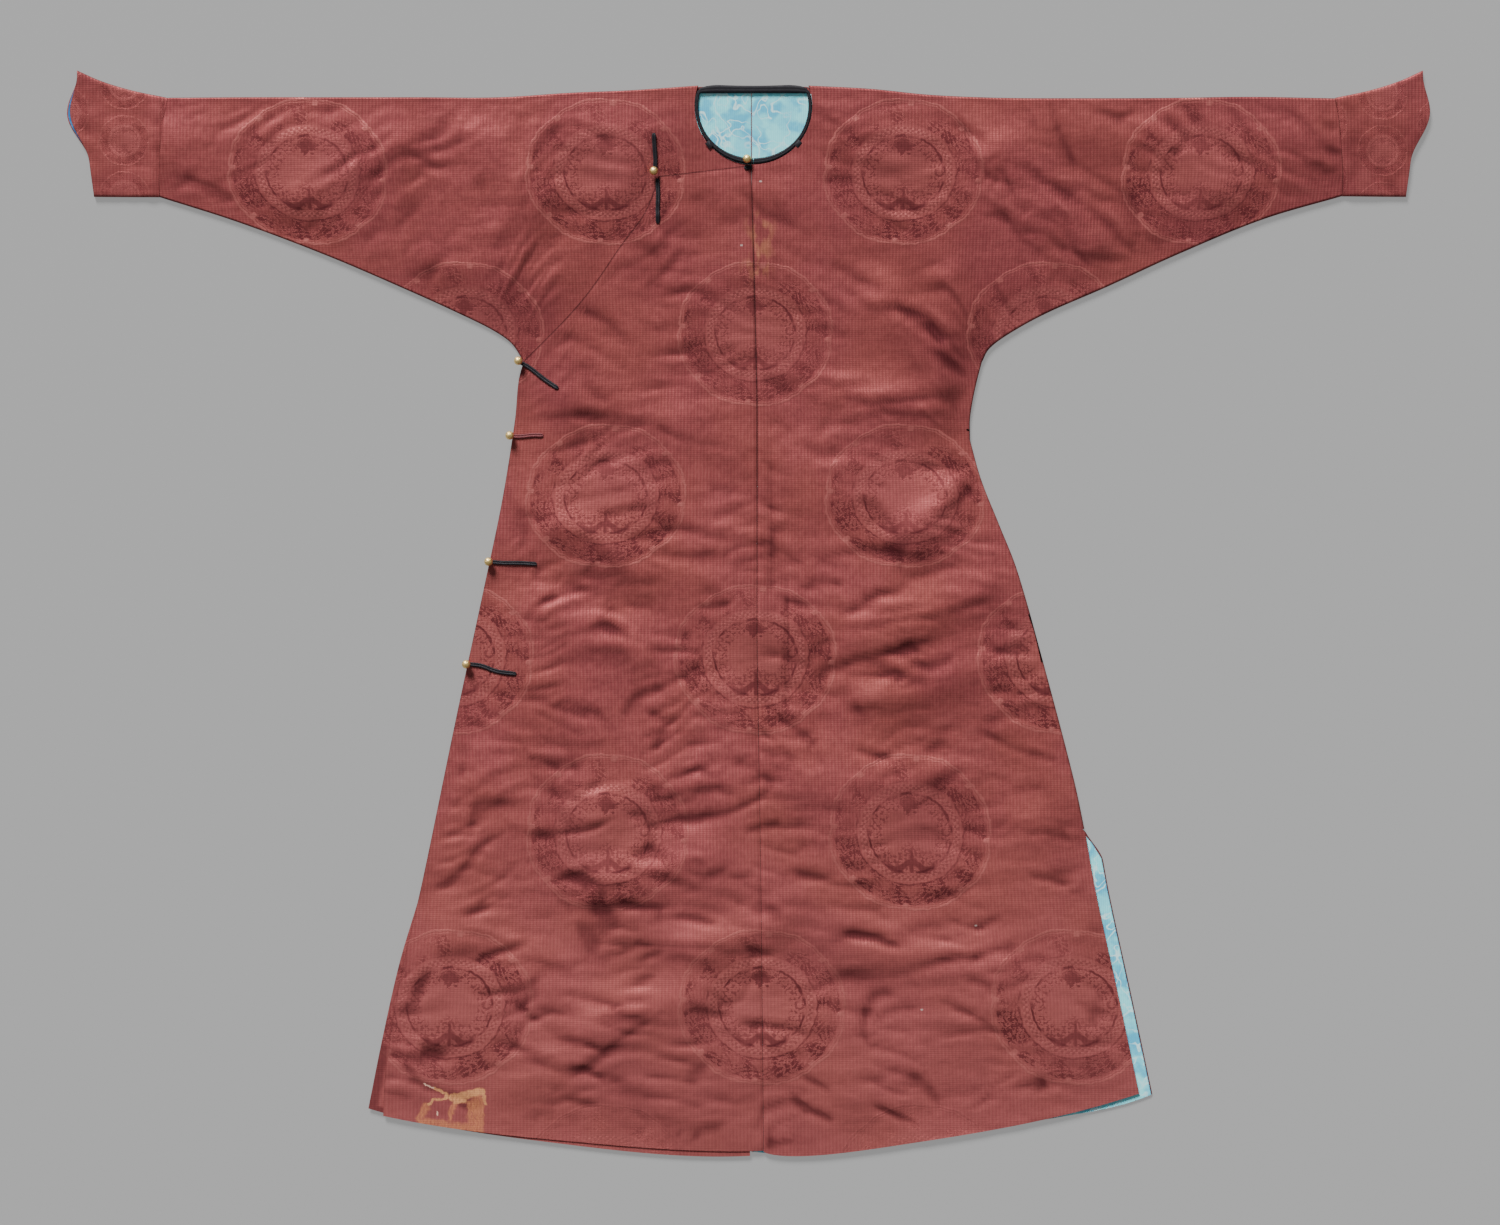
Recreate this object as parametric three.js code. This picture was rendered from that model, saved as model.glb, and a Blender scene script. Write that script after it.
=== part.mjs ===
import * as THREE from "three";

// A lined silk robe laid face up. Millimetres, +Z up, the neck toward +Y,
// the wearer's left sleeve toward +X. The back lies flat on z = 0.
const CLOTH = 1.2;
const LINING_CLOTH = 1;
const SEAM_GAP = 0.35;
const LAYER_GAP = 0.3;
const LINING_Z = CLOTH + LAYER_GAP;
const UNDER_TOP = LINING_Z + LINING_CLOTH + LAYER_GAP + CLOTH + 0.1;
const FRONT_TOP = UNDER_TOP + LAYER_GAP + CLOTH;
const LOFT = 1.6;

// Neck opening
const NECK = { x: 4.5, y: 674.5, radius: 78.5, topY: 701.6 };
const BINDING = { outer: 77.8, side: 7.5, front: 10, back: 12, low: 2.9, high: 6.8 };

// Grid counts
const SLEEVE_STEPS = 20;
const NECK_STEPS = 11;
const SKIRT_STEPS = 33;
const FRONT_ACROSS = 12;
const BACK_ACROSS = 3;
const FLAP_STEPS = 33;
const FLAP_ACROSS = 13;
const CUFF_STEPS = 5;
const CUFF_ACROSS = 7;

// Left half: shoulder fold against underarm seam, then neck, then centre against side.
const LEFT_SLEEVE = [
  { edgeX: 778.7, edgeY: 684.5, sideX: 788, sideY: 554 },
  { edgeX: 667, edgeY: 686.5, sideX: 683, sideY: 523 },
  { edgeX: 547, edgeY: 685, sideX: 571, sideY: 477 },
  { edgeX: 440, edgeY: 684.7, sideX: 475, sideY: 433 },
  { edgeX: 333, edgeY: 685.3, sideX: 397, sideY: 399 },
  { edgeX: 240, edgeY: 689.3, sideX: 349, sideY: 373 },
  { edgeX: 160, edgeY: 697.3, sideX: 320, sideY: 352 },
  { edgeX: 78, edgeY: 701.6, sideX: 309, sideY: 333 },
];
const LEFT_ARMPIT = [
  { sideX: 309, sideY: 333 },
  { sideX: 302.7, sideY: 309 },
  { sideX: 297, sideY: 283 },
  { sideX: 293, sideY: 256 },
  { sideX: 293, sideY: 229 },
];
const LEFT_SKIRT = [
  { edgeY: 596, sideX: 293, sideY: 229 },
  { edgeY: 456, sideX: 308, sideY: 176 },
  { edgeY: 320, sideX: 332, sideY: 116 },
  { edgeY: 176, sideX: 356, sideY: 55 },
  { edgeY: -37, sideX: 389, sideY: -61 },
  { edgeY: -224, sideX: 431, sideY: -221 },
  { edgeY: -300, sideX: 446, sideY: -292 },
  { edgeY: -384, sideX: 460, sideY: -370 },
  { edgeY: -540, sideX: 490, sideY: -508 },
  { edgeY: -718.7, sideX: 518.3, sideY: -641.3 },
];

// Right half, whose front is the under-flap below the overlap.
const RIGHT_SLEEVE = [
  { edgeX: -775.2, edgeY: 685.3, sideX: -786, sideY: 552.7 },
  { edgeX: -667, edgeY: 686, sideX: -680, sideY: 518.7 },
  { edgeX: -547, edgeY: 686, sideX: -560, sideY: 473.3 },
  { edgeX: -440, edgeY: 686, sideX: -450, sideY: 426 },
  { edgeX: -333, edgeY: 686, sideX: -382, sideY: 395 },
  { edgeX: -240, edgeY: 692, sideX: -342, sideY: 375 },
  { edgeX: -160, edgeY: 695.3, sideX: -318, sideY: 358 },
  { edgeX: -69, edgeY: 701.6, sideX: -303, sideY: 336 },
];
const RIGHT_ARMPIT = [
  { sideX: -303, sideY: 336 },
  { sideX: -303, sideY: 309 },
  { sideX: -306, sideY: 283 },
  { sideX: -308, sideY: 256 },
  { sideX: -310, sideY: 229 },
];
const RIGHT_SKIRT = [
  { edgeY: 596, sideX: -310, sideY: 229 },
  { edgeY: 456, sideX: -321, sideY: 176 },
  { edgeY: 320, sideX: -332, sideY: 116 },
  { edgeY: 176, sideX: -344, sideY: 55 },
  { edgeY: -37, sideX: -370, sideY: -61 },
  { edgeY: -224, sideX: -405, sideY: -221 },
  { edgeY: -300, sideX: -420, sideY: -292 },
  { edgeY: -384, sideX: -438, sideY: -370 },
  { edgeY: -480, sideX: -466, sideY: -464 },
  { edgeY: -590, sideX: -488, sideY: -560 },
  { edgeY: -724.5, sideX: -508.4, sideY: -661.3 },
];
const VENT_Y = -292;
const HEM_CURVE = {
  left: { drop: 19, lean: 0.75, power: 3 },
  right: { drop: 15, lean: 1, power: 3 },
  flap: { drop: 11, lean: 1, power: 3 },
  back: { drop: 13, lean: 1, power: 6 },
};
const CUFF_SEAM_BOW = 4;

// How far the back's side edge lies outside the front's, from the vent to the hem
const LEFT_BACK_OUT = 18;
const RIGHT_BACK_OUT = -8;

// Centre front seam, which leans a little toward the wearer's left
const CENTRE_SEAM = [
  { x: 1.3, y: 596 },
  { x: 5.3, y: 456 },
  { x: 9.3, y: 283 },
  { x: 9.3, y: -37 },
  { x: 14.7, y: -384 },
  { x: 17.3, y: -640 },
  { x: 17.8, y: -720 },
];
const BACK_SEAM_X = 2;

// Overlap edge: below the neck to the chest button, then down to the armpit
const OVERLAP_NECK = [
  { x: 0.5, y: 595.3 },
  { x: -40, y: 590 },
  { x: -80, y: 585 },
  { x: -122, y: 580.5 },
];
const OVERLAP_SIDE = [
  { x: -122, y: 580.5 },
  { x: -140, y: 533 },
  { x: -172, y: 489 },
  { x: -214, y: 428 },
  { x: -250, y: 386 },
  { x: -301, y: 335 },
];
const FLAP_SIDE = [
  { x: -301, y: 335 },
  { x: -308, y: 309 },
  { x: -313, y: 256 },
  { x: -330, y: 149 },
  { x: -352, y: 43 },
  { x: -392, y: -144 },
  { x: -436, y: -357 },
  { x: -469, y: -504 },
  { x: -486, y: -619 },
  { x: -488.5, y: -671 },
];
const CORNER_SHARE = 5 / FLAP_ACROSS;

// Horse-hoof cuffs, shoulder edge against underside, from the seam outward
const CUFF_TOP = [
  { x: 779, y: 685 },
  { x: 827, y: 695.5 },
  { x: 866, y: 708 },
  { x: 896.5, y: 722 },
];
const CUFF_END_LOW = { x: 873.5, y: 552.5 };
const CUFF_BULGE = { front: 17, back: 17, rightBack: 22, reach: 0.72 };

// The largest folds, each a soft ridge from one point to another
const FOLDS = [
  { x0: 262, y0: 440, x1: 292, y1: 365, width: 26, height: 4.5 },
  { x0: 180, y0: 420, x1: 262, y1: 303, width: 28, height: 5 },
  { x0: 107, y0: 292, x1: 262, y1: 262, width: 27, height: 4 },
  { x0: 285, y0: 172, x1: 215, y1: 96, width: 27, height: 5.5 },
  { x0: 150, y0: -30, x1: 313, y1: 30, width: 30, height: 4.5 },
  { x0: 173, y0: -115, x1: 333, y1: -65, width: 30, height: 4 },
  { x0: 67, y0: -234, x1: 280, y1: -215, width: 34, height: 4 },
  { x0: 107, y0: -440, x1: 333, y1: -470, width: 32, height: 4 },
  { x0: -267, y0: 3, x1: -147, y1: -51, width: 28, height: 4.5 },
  { x0: -253, y0: 115, x1: -147, y1: 50, width: 28, height: 4 },
  { x0: -253, y0: 283, x1: -93, y1: 250, width: 32, height: 3.5 },
  { x0: -200, y0: -262, x1: -67, y1: -225, width: 26, height: 4 },
  { x0: -200, y0: -362, x1: -67, y1: -327, width: 28, height: 4 },
  { x0: -80, y0: -450, x1: 27, y1: -417, width: 28, height: 4.5 },
  { x0: -200, y0: -545, x1: -67, y1: -510, width: 28, height: 4.5 },
  { x0: -300, y0: -620, x1: -183, y1: -560, width: 30, height: 3 },
  { x0: 333, y0: 610, x1: 450, y1: 490, width: 34, height: 4 },
  { x0: 540, y0: 645, x1: 620, y1: 570, width: 32, height: 3.5 },
  { x0: -467, y0: 616, x1: -590, y1: 560, width: 32, height: 3.5 },
  { x0: -363, y0: 636, x1: -285, y1: 549, width: 34, height: 4 },
];

// Loop strips: laid from one point to the other on the cloth
const STRIP = { width: 5.8, height: 2, step: 8 };
const STRIPS = [
  { name: "chest_loop_upper", x0: -127, y0: 584.5, x1: -128, y1: 637 },
  { name: "chest_loop_lower", x0: -123.5, y0: 578, x1: -122.7, y1: 517 },
  { name: "underarm_loop", x0: -309, y0: 334.5, x1: -255, y1: 297 },
  { name: "waist_loop_1", x0: -321, y0: 234.7, x1: -275, y1: 235.3 },
  { name: "waist_loop_2", x0: -349, y0: 67, x1: -284, y1: 64 },
  { name: "waist_loop_3", x0: -379, y0: -69, x1: -311, y1: -82.3 },
];
const NECK_LOOP = { name: "neck_loop", x0: -11, y0: 591.5, x1: 6, y1: 591.5 };
const BUTTON = { radius: 5.8, shankRadius: 1.9, shank: 1, squash: 0.92 };
const BUTTONS = [
  { name: "neck_button", x: -4, y: 602.7 },
  { name: "chest_button", x: -128, y: 586.5 },
  { name: "underarm_button", x: -308, y: 334 },
  { name: "waist_button_1", x: -319.5, y: 234.7 },
  { name: "waist_button_2", x: -347.5, y: 67 },
  { name: "waist_button_3", x: -377.3, y: -69.5 },
];

const mix = (a, b, t) => a + (b - a) * t;
const ease = (t) => {
  const s = Math.min(1, Math.max(0, t));
  return s * s * (3 - 2 * s);
};
const point = (x, y, z = 0) => new THREE.Vector3(x, y, z);

// A smooth run through table rows, at a share t of its length.
function rowAt(rows, t) {
  const keys = Object.keys(rows[0]);
  const spans = rows.slice(1).map((row, i) =>
    Math.hypot(...keys.map((key) => row[key] - rows[i][key])),
  );
  const marks = [0];
  spans.forEach((span) => marks.push(marks[marks.length - 1] + span));
  const at = Math.min(1, Math.max(0, t)) * marks[marks.length - 1];
  let i = spans.length - 1;
  while (i > 0 && marks[i] > at) i -= 1;
  const share = (at - marks[i]) / spans[i];
  const slope = (key, k) => {
    const before = Math.max(0, k - 1);
    const after = Math.min(rows.length - 1, k + 1);
    return (rows[after][key] - rows[before][key]) / (marks[after] - marks[before]);
  };
  const found = {};
  for (const key of keys) {
    const s2 = share * share;
    const s3 = s2 * share;
    found[key] =
      (2 * s3 - 3 * s2 + 1) * rows[i][key] +
      (s3 - 2 * s2 + share) * spans[i] * slope(key, i) +
      (3 * s2 - 2 * s3) * rows[i + 1][key] +
      (s3 - s2) * spans[i] * slope(key, i + 1);
  }
  return found;
}

// x of a line of points at a height y, for lines that run down the robe
function lineX(rows, y) {
  let i = 0;
  while (i < rows.length - 2 && rows[i + 1].y > y) i += 1;
  const share = (rows[i].y - y) / (rows[i].y - rows[i + 1].y);
  return mix(rows[i].x, rows[i + 1].x, Math.min(1.2, Math.max(-0.2, share)));
}

// Distance inside the nearest laid edge, so fullness dies away there
function insideDistance(x, y) {
  const wide = Math.abs(x);
  const top = 688 - y;
  const hem = y + 724 - 60 * (x / 510) ** 2;
  if (wide > 313 && y > 341 - 60) return Math.min(top, (y - 554 + (788 - wide) * 0.448) * 0.91);
  const side = y > 230 ? 306 - wide : 310 + ((230 - y) * 200) / 870 - wide;
  return y > 345 ? Math.min(top, hem) : Math.min(hem, side);
}

// Fullness of the laid cloth above its resting level
function fullness(x, y) {
  let sum = LOFT;
  for (const fold of FOLDS) {
    const dx = fold.x1 - fold.x0;
    const dy = fold.y1 - fold.y0;
    const along = ((x - fold.x0) * dx + (y - fold.y0) * dy) / (dx * dx + dy * dy);
    const t = Math.min(1, Math.max(0, along));
    const off = Math.hypot(x - fold.x0 - dx * t, y - fold.y0 - dy * t) / fold.width;
    sum += fold.height * Math.exp(-off * off);
  }
  return sum * ease(insideDistance(x, y) / 60);
}

const OVERLAP_LINE = [...OVERLAP_NECK.slice(0, -1), ...OVERLAP_SIDE];

// 1 on the open cloth of the right half, 0 where the overlap covers it
function uncovered(x, y) {
  let i = 0;
  while (i < OVERLAP_LINE.length - 2 && OVERLAP_LINE[i + 1].x > x) i += 1;
  const a = OVERLAP_LINE[i];
  const b = OVERLAP_LINE[i + 1];
  const share = Math.min(1, Math.max(0, (a.x - x) / (a.x - b.x)));
  return ease((y - mix(a.y, b.y, share) - 8) / 40);
}

const frontHeight = (x, y) => FRONT_TOP + fullness(x, y);
const underHeight = (x, y) =>
  UNDER_TOP + (FRONT_TOP - UNDER_TOP + fullness(x, y)) * uncovered(x, y);

// A sheet is a list of points and outward triangles; thicken gives it a wall.
class Sheet {
  constructor() {
    this.points = [];
    this.triangles = [];
  }
  add(p) {
    this.points.push(p);
    return this.points.length - 1;
  }
  quad(a, b, c, d) {
    this.triangles.push([a, b, c], [a, c, d]);
  }
  grid(rows, flip) {
    const ids = rows.map((row) => row.map((p) => this.add(p)));
    this.join(ids, flip);
    return ids;
  }
  join(ids, flip) {
    for (let i = 0; i + 1 < ids.length; i += 1)
      for (let j = 0; j + 1 < ids[i].length; j += 1) {
        const [a, b, c, d] = [ids[i][j], ids[i][j + 1], ids[i + 1][j + 1], ids[i + 1][j]];
        if (flip) this.quad(a, d, c, b);
        else this.quad(a, b, c, d);
      }
  }
}

function solidFrom(points, triangles) {
  const geometry = new THREE.BufferGeometry();
  geometry.setAttribute(
    "position",
    new THREE.Float32BufferAttribute(points.flatMap((p) => [p.x, p.y, p.z]), 3),
  );
  geometry.setIndex(triangles.flat());
  return geometry;
}

function thicken(sheet, wall) {
  const normals = sheet.points.map(() => point(0, 0, 0));
  const edges = new Map();
  for (const [a, b, c] of sheet.triangles) {
    const [pa, pb, pc] = [sheet.points[a], sheet.points[b], sheet.points[c]];
    const normal = pb.clone().sub(pa).cross(pc.clone().sub(pa));
    for (const k of [a, b, c]) normals[k].add(normal);
    for (const [s, e] of [[a, b], [b, c], [c, a]]) {
      if (edges.has(`${e},${s}`)) edges.delete(`${e},${s}`);
      else edges.set(`${s},${e}`, [s, e]);
    }
  }
  const count = sheet.points.length;
  const inner = sheet.points.map((p, i) =>
    p.clone().addScaledVector(normals[i].normalize(), -wall),
  );
  const triangles = [
    ...sheet.triangles,
    ...sheet.triangles.map(([a, b, c]) => [a + count, c + count, b + count]),
  ];
  for (const [s, e] of edges.values()) triangles.push([e, s, s + count], [e, s + count, e + count]);
  return solidFrom([...sheet.points, ...inner], triangles);
}

// Skin over closed rings of points, with a cap on both ends
function skin(rings) {
  const points = rings.flat();
  const n = rings[0].length;
  const triangles = [];
  for (let i = 0; i + 1 < rings.length; i += 1)
    for (let j = 0; j < n; j += 1) {
      const k = (j + 1) % n;
      const [a, b, c, d] = [i * n + j, i * n + k, (i + 1) * n + k, (i + 1) * n + j];
      triangles.push([a, b, c], [a, c, d]);
    }
  for (const [ring, start, turn] of [[rings[0], 0, 1], [rings.at(-1), (rings.length - 1) * n, 0]]) {
    const centre = points.push(ring.reduce((s, p) => s.add(p), point(0, 0, 0)).divideScalar(n)) - 1;
    for (let j = 0; j < n; j += 1) {
      const [a, b] = [start + j, start + ((j + 1) % n)];
      triangles.push(turn ? [centre, b, a] : [centre, a, b]);
    }
  }
  return solidFrom(points, triangles);
}

// Share of a curve's drop at v, 0 at both ends
const swellAt = ({ lean, power }, v) => 1 - Math.abs(2 * v ** lean - 1) ** power;

// Points of one section, from the fold or centre edge to the side edge
function section(from, to, steps, curve, inset, height) {
  const dx = to.x - from.x;
  const dy = to.y - from.y;
  const length = Math.hypot(dx, dy);
  const row = [];
  for (let j = 0; j <= steps; j += 1) {
    const v = mix(inset.from / length, 1 - inset.to / length, j / steps);
    const swell = curve.drop * swellAt(curve, v);
    const x = from.x + dx * v + (dy / length) * swell;
    const y = from.y + dy * v - (dx / length) * swell;
    row.push(point(x, y, height(x, y)));
  }
  return row;
}

// Half round that carries the cloth over a fold, from the front to the back
function foldOver(front, back, outward, bulge) {
  return [1, 2].map((k) => {
    const angle = (Math.PI * k) / 3;
    const p = front.clone().lerp(back, (1 - Math.cos(angle)) / 2);
    return p.addScaledVector(outward, bulge * Math.sin(angle));
  });
}

const FOLD_BULGE = { left: 2.8, right: 2.3 };

// The stations of one half: front edge, back edge, side, and where it is open
function stations(side, sleeveRows, armpitRows, skirtRows, backOut) {
  const list = [];
  const sign = side === "left" ? 1 : -1;
  for (let i = 0; i <= SLEEVE_STEPS; i += 1) {
    const row = rowAt(sleeveRows, i / SLEEVE_STEPS);
    const edge = { x: row.edgeX, y: row.edgeY };
    const to = { x: row.sideX, y: row.sideY };
    const bow = 1 - ease((i / SLEEVE_STEPS) * 4);
    list.push({ edge, backEdge: edge, to, backTo: to, seamBow: bow, topFold: true, sideFold: true });
  }
  const shoulder = list.at(-1).edge;
  const startAngle = Math.atan2(shoulder.y - NECK.y, shoulder.x - NECK.x);
  const endX = side === "left" ? lineX(CENTRE_SEAM, 596) + SEAM_GAP : 0;
  const sweep = Math.acos((endX - NECK.x) / NECK.radius);
  const endAngle = side === "left" ? -sweep : 2 * Math.PI - sweep;
  for (let i = 1; i <= NECK_STEPS; i += 1) {
    const t = i / NECK_STEPS;
    const angle = mix(startAngle, endAngle, t);
    const radius = mix(Math.hypot(shoulder.x - NECK.x, shoulder.y - NECK.y), NECK.radius, ease(t * 4));
    const edge = {
      x: NECK.x + radius * Math.cos(angle),
      y: NECK.y + radius * Math.sin(angle),
    };
    const backX = BACK_SEAM_X + (sign * SEAM_GAP) / 2;
    const backEdge = { x: mix(shoulder.x, backX, t), y: NECK.topY - 1.5 };
    const row = rowAt(armpitRows, t);
    const to = { x: row.sideX, y: row.sideY };
    list.push({ edge, backEdge, to, backTo: to, topFold: false, sideFold: true });
  }
  const [top, low] = [skirtRows[0].edgeY, skirtRows.at(-1).edgeY];
  for (let i = 1; i <= SKIRT_STEPS; i += 1) {
    const row = rowAt(skirtRows, i / SKIRT_STEPS);
    const down = (top - row.edgeY) / (top - low);
    const edge = {
      x: side === "left" ? lineX(CENTRE_SEAM, row.edgeY) + SEAM_GAP : 0,
      y: row.edgeY,
    };
    const backEdge = {
      x: BACK_SEAM_X + (sign * SEAM_GAP) / 2,
      y: mix(NECK.topY - 1.5, low + (side === "left" ? -1 : 6), down),
    };
    const open = ease((VENT_Y - row.sideY) / 60);
    const to = { x: row.sideX, y: row.sideY };
    const backTo = { x: to.x + sign * backOut * open, y: to.y - (side === "left" ? 1.5 : -4) * open };
    const hemBow = ease((down - 0.75) * 4);
    list.push({ edge, backEdge, to, backTo, hemBow, topFold: false, sideFold: row.sideY > VENT_Y });
  }
  return list;
}

// A station's own bow: out at the cuff seam, down toward the hem
function stationCurve(station, hem, turn) {
  if (station.seamBow) return { drop: -turn * CUFF_SEAM_BOW * station.seamBow, lean: 1, power: 3 };
  return { ...hem, drop: turn * hem.drop * (station.hemBow ?? 0) };
}

// One half of the robe: front, back and sleeve in one, folded at the shoulder
function bodyHalf(side, list, height) {
  const sheet = new Sheet();
  const left = side === "left";
  const bulge = FOLD_BULGE[side];
  const turn = left ? 1 : -1;
  const front = [];
  const back = [];
  for (const s of list) {
    const inset = { from: s.topFold ? bulge : 0, to: s.sideFold ? bulge : 0 };
    const frontCurve = stationCurve(s, HEM_CURVE[side], turn);
    const backCurve = stationCurve(s, HEM_CURVE.back, turn);
    front.push(section(s.edge, s.to, FRONT_ACROSS, frontCurve, inset, height));
    back.push(section(s.backEdge, s.backTo, BACK_ACROSS, backCurve, inset, () => 0));
  }
  const frontIds = sheet.grid(front, left);
  const backIds = sheet.grid(back, !left);
  const strips = [
    { open: (s) => s.topFold, at: (ids) => ids[0], toward: -1, flip: !left },
    { open: (s) => s.sideFold, at: (ids) => ids.at(-1), toward: 1, flip: left },
  ];
  for (const strip of strips) {
    const rows = [];
    list.forEach((s, i) => {
      if (!strip.open(s)) return;
      const [f, b] = [strip.at(frontIds[i]), strip.at(backIds[i])];
      const outward = point(s.to.x - s.edge.x, s.to.y - s.edge.y).normalize();
      outward.multiplyScalar(strip.toward);
      const middle = foldOver(sheet.points[f], sheet.points[b], outward, bulge);
      rows.push([f, ...middle.map((p) => sheet.add(p)), b]);
    });
    sheet.join(rows, strip.flip);
  }
  return sheet;
}

// A four-sided sheet blended between its top, hem, centre and side curves
function blended(topAt, hemAt, centreAt, sideAt, rows, columns, height) {
  const grid = [];
  const corner = [topAt(0), topAt(1), hemAt(0), hemAt(1)];
  for (let i = 0; i <= rows; i += 1) {
    const v = i / rows;
    const row = [];
    for (let j = 0; j <= columns; j += 1) {
      const u = j / columns;
      const value = (key) =>
        mix(topAt(u)[key], hemAt(u)[key], v) +
        mix(centreAt(v)[key], sideAt(v)[key], u) -
        mix(mix(corner[0][key], corner[1][key], u), mix(corner[2][key], corner[3][key], u), v);
      row.push(point(value("x"), value("y"), height(value("x"), value("y"))));
    }
    grid.push(row);
  }
  return grid;
}

function flapSheet() {
  const top = (u) =>
    u < CORNER_SHARE
      ? rowAt(OVERLAP_NECK, u / CORNER_SHARE)
      : rowAt(OVERLAP_SIDE, (u - CORNER_SHARE) / (1 - CORNER_SHARE));
  const side = (v) => rowAt(FLAP_SIDE, v);
  const centre = (v) => {
    const y = mix(OVERLAP_NECK[0].y, -717.5, v);
    return { x: lineX(CENTRE_SEAM, y), y };
  };
  const hem = (u) => {
    const [from, to] = [centre(1), side(1)];
    const swell = HEM_CURVE.flap.drop * swellAt(HEM_CURVE.flap, u);
    return { x: mix(from.x, to.x, u), y: mix(from.y, to.y, u) - swell };
  };
  const sheet = new Sheet();
  sheet.grid(blended(top, hem, centre, side, FLAP_STEPS, FLAP_ACROSS, frontHeight), false);
  return sheet;
}

const hoof = (v, bulge) =>
  v < CUFF_BULGE.reach ? bulge * Math.sin((Math.PI * v) / CUFF_BULGE.reach) ** 2 : 0;

// One half, front or back, of a horse-hoof cuff
function cuffGrid(sign, seam, bulge, height, inset) {
  const grid = [];
  for (let i = 0; i <= CUFF_STEPS; i += 1) {
    const t = i / CUFF_STEPS;
    const row = rowAt(CUFF_TOP, t);
    const fade = 1 - t;
    const topX = sign * row.x + fade * (seam.top.x - sign * CUFF_TOP[0].x);
    const low = { x: mix(seam.low.x, sign * CUFF_END_LOW.x, t), y: mix(seam.low.y, CUFF_END_LOW.y, t) };
    const line = [];
    for (let j = 0; j <= CUFF_ACROSS; j += 1) {
      const v = mix(inset.from, 1 - inset.to, j / CUFF_ACROSS);
      const out = t * hoof(v, bulge) + fade * CUFF_SEAM_BOW * (1 - Math.abs(2 * v - 1) ** 3);
      const x = mix(topX, low.x, v) + sign * out;
      const y = mix(row.y, low.y, v);
      line.push(point(x, y, height(x, y)));
    }
    grid.push(line);
  }
  return grid;
}

function cuffSheet(sign, seam, backBulge) {
  const sheet = new Sheet();
  const share = FOLD_BULGE.left / 140;
  const inset = { from: share, to: share };
  const flip = sign < 0;
  const flat = () => 0;
  const level = (x, y) => FRONT_TOP + LOFT * 0.3 * ease(insideDistance(x * 0.85, y) / 60);
  const frontIds = sheet.grid(cuffGrid(sign, seam, CUFF_BULGE.front, level, inset), flip);
  const backIds = sheet.grid(cuffGrid(sign, seam, backBulge, flat, inset), !flip);
  for (const [at, toward, turn] of [[(r) => r[0], 1, !flip], [(r) => r.at(-1), -1, flip]]) {
    const rows = frontIds.map((row, i) => {
      const [f, b] = [at(row), at(backIds[i])];
      const middle = foldOver(sheet.points[f], sheet.points[b], point(0, toward), FOLD_BULGE.left);
      return [f, ...middle.map((p) => sheet.add(p)), b];
    });
    sheet.join(rows, turn);
  }
  return sheet;
}

// Back lining of one half: its centre seam to its side, hem to neck
function liningSheet(side, list) {
  const sign = side === "left" ? 1 : -1;
  const sheet = new Sheet();
  const rows = [];
  for (const s of list.slice(SLEEVE_STEPS - 5)) {
    const inset = { from: s.topFold ? 7 : 1, to: s.sideFold ? 7 : 1.4 };
    const height = () => LINING_Z + LINING_CLOTH;
    const curve = stationCurve(s, HEM_CURVE.back, sign);
    rows.push(section(s.backEdge, s.backTo, BACK_ACROSS, curve, inset, height));
  }
  const last = rows.at(-1);
  const before = rows.at(-2);
  last.forEach((p, j) => p.lerp(before[j], 0.02));
  sheet.grid(rows, side === "left");
  return sheet;
}

// Highest cloth under a small patch round a point
function topOf(sheets, x, y, reach) {
  let high = 0;
  for (const [ox, oy] of [[0, 0], [1, 0], [-1, 0], [0, 1], [0, -1]]) {
    const [px, py] = [x + ox * reach, y + oy * reach];
    for (const { points, triangles } of sheets)
      for (const [ia, ib, ic] of triangles) {
        const [a, b, c] = [points[ia], points[ib], points[ic]];
        const area = (b.x - a.x) * (c.y - a.y) - (c.x - a.x) * (b.y - a.y);
        if (Math.abs(area) < 1e-6) continue;
        const s = ((px - a.x) * (c.y - a.y) - (c.x - a.x) * (py - a.y)) / area;
        const t = ((b.x - a.x) * (py - a.y) - (px - a.x) * (b.y - a.y)) / area;
        if (s < 0 || t < 0 || s + t > 1) continue;
        high = Math.max(high, a.z + s * (b.z - a.z) + t * (c.z - a.z));
      }
  }
  return high;
}

// A flat cord strip that follows the cloth below it
function stripSolid(strip, sheets) {
  const from = point(strip.x0, strip.y0);
  const to = point(strip.x1, strip.y1);
  const length = from.distanceTo(to);
  const steps = Math.max(3, Math.round(length / STRIP.step));
  const across = point(0, 0, 1).cross(to.clone().sub(from).normalize());
  const heights = [];
  for (let i = 0; i <= steps; i += 1) {
    const p = from.clone().lerp(to, i / steps);
    heights.push(topOf(sheets, p.x, p.y, STRIP.width / 2 + 1));
  }
  const level = Math.max(...heights.slice(0, 2));
  heights[0] = level;
  heights[1] = level;
  const rings = heights.map((z, i) => {
    const p = from.clone().lerp(to, i / steps);
    const low = z + LAYER_GAP;
    return [
      [-0.5, 0.25], [-0.32, 0], [0.32, 0], [0.5, 0.25], [0.5, 0.65], [0.3, 1], [-0.3, 1], [-0.5, 0.65],
    ].map(([u, w]) =>
      p.clone().addScaledVector(across, u * STRIP.width).add(point(0, 0, low + w * STRIP.height)),
    );
  });
  return { geometry: skin(rings), top: (STRIP.height + LAYER_GAP) + level };
}

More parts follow.
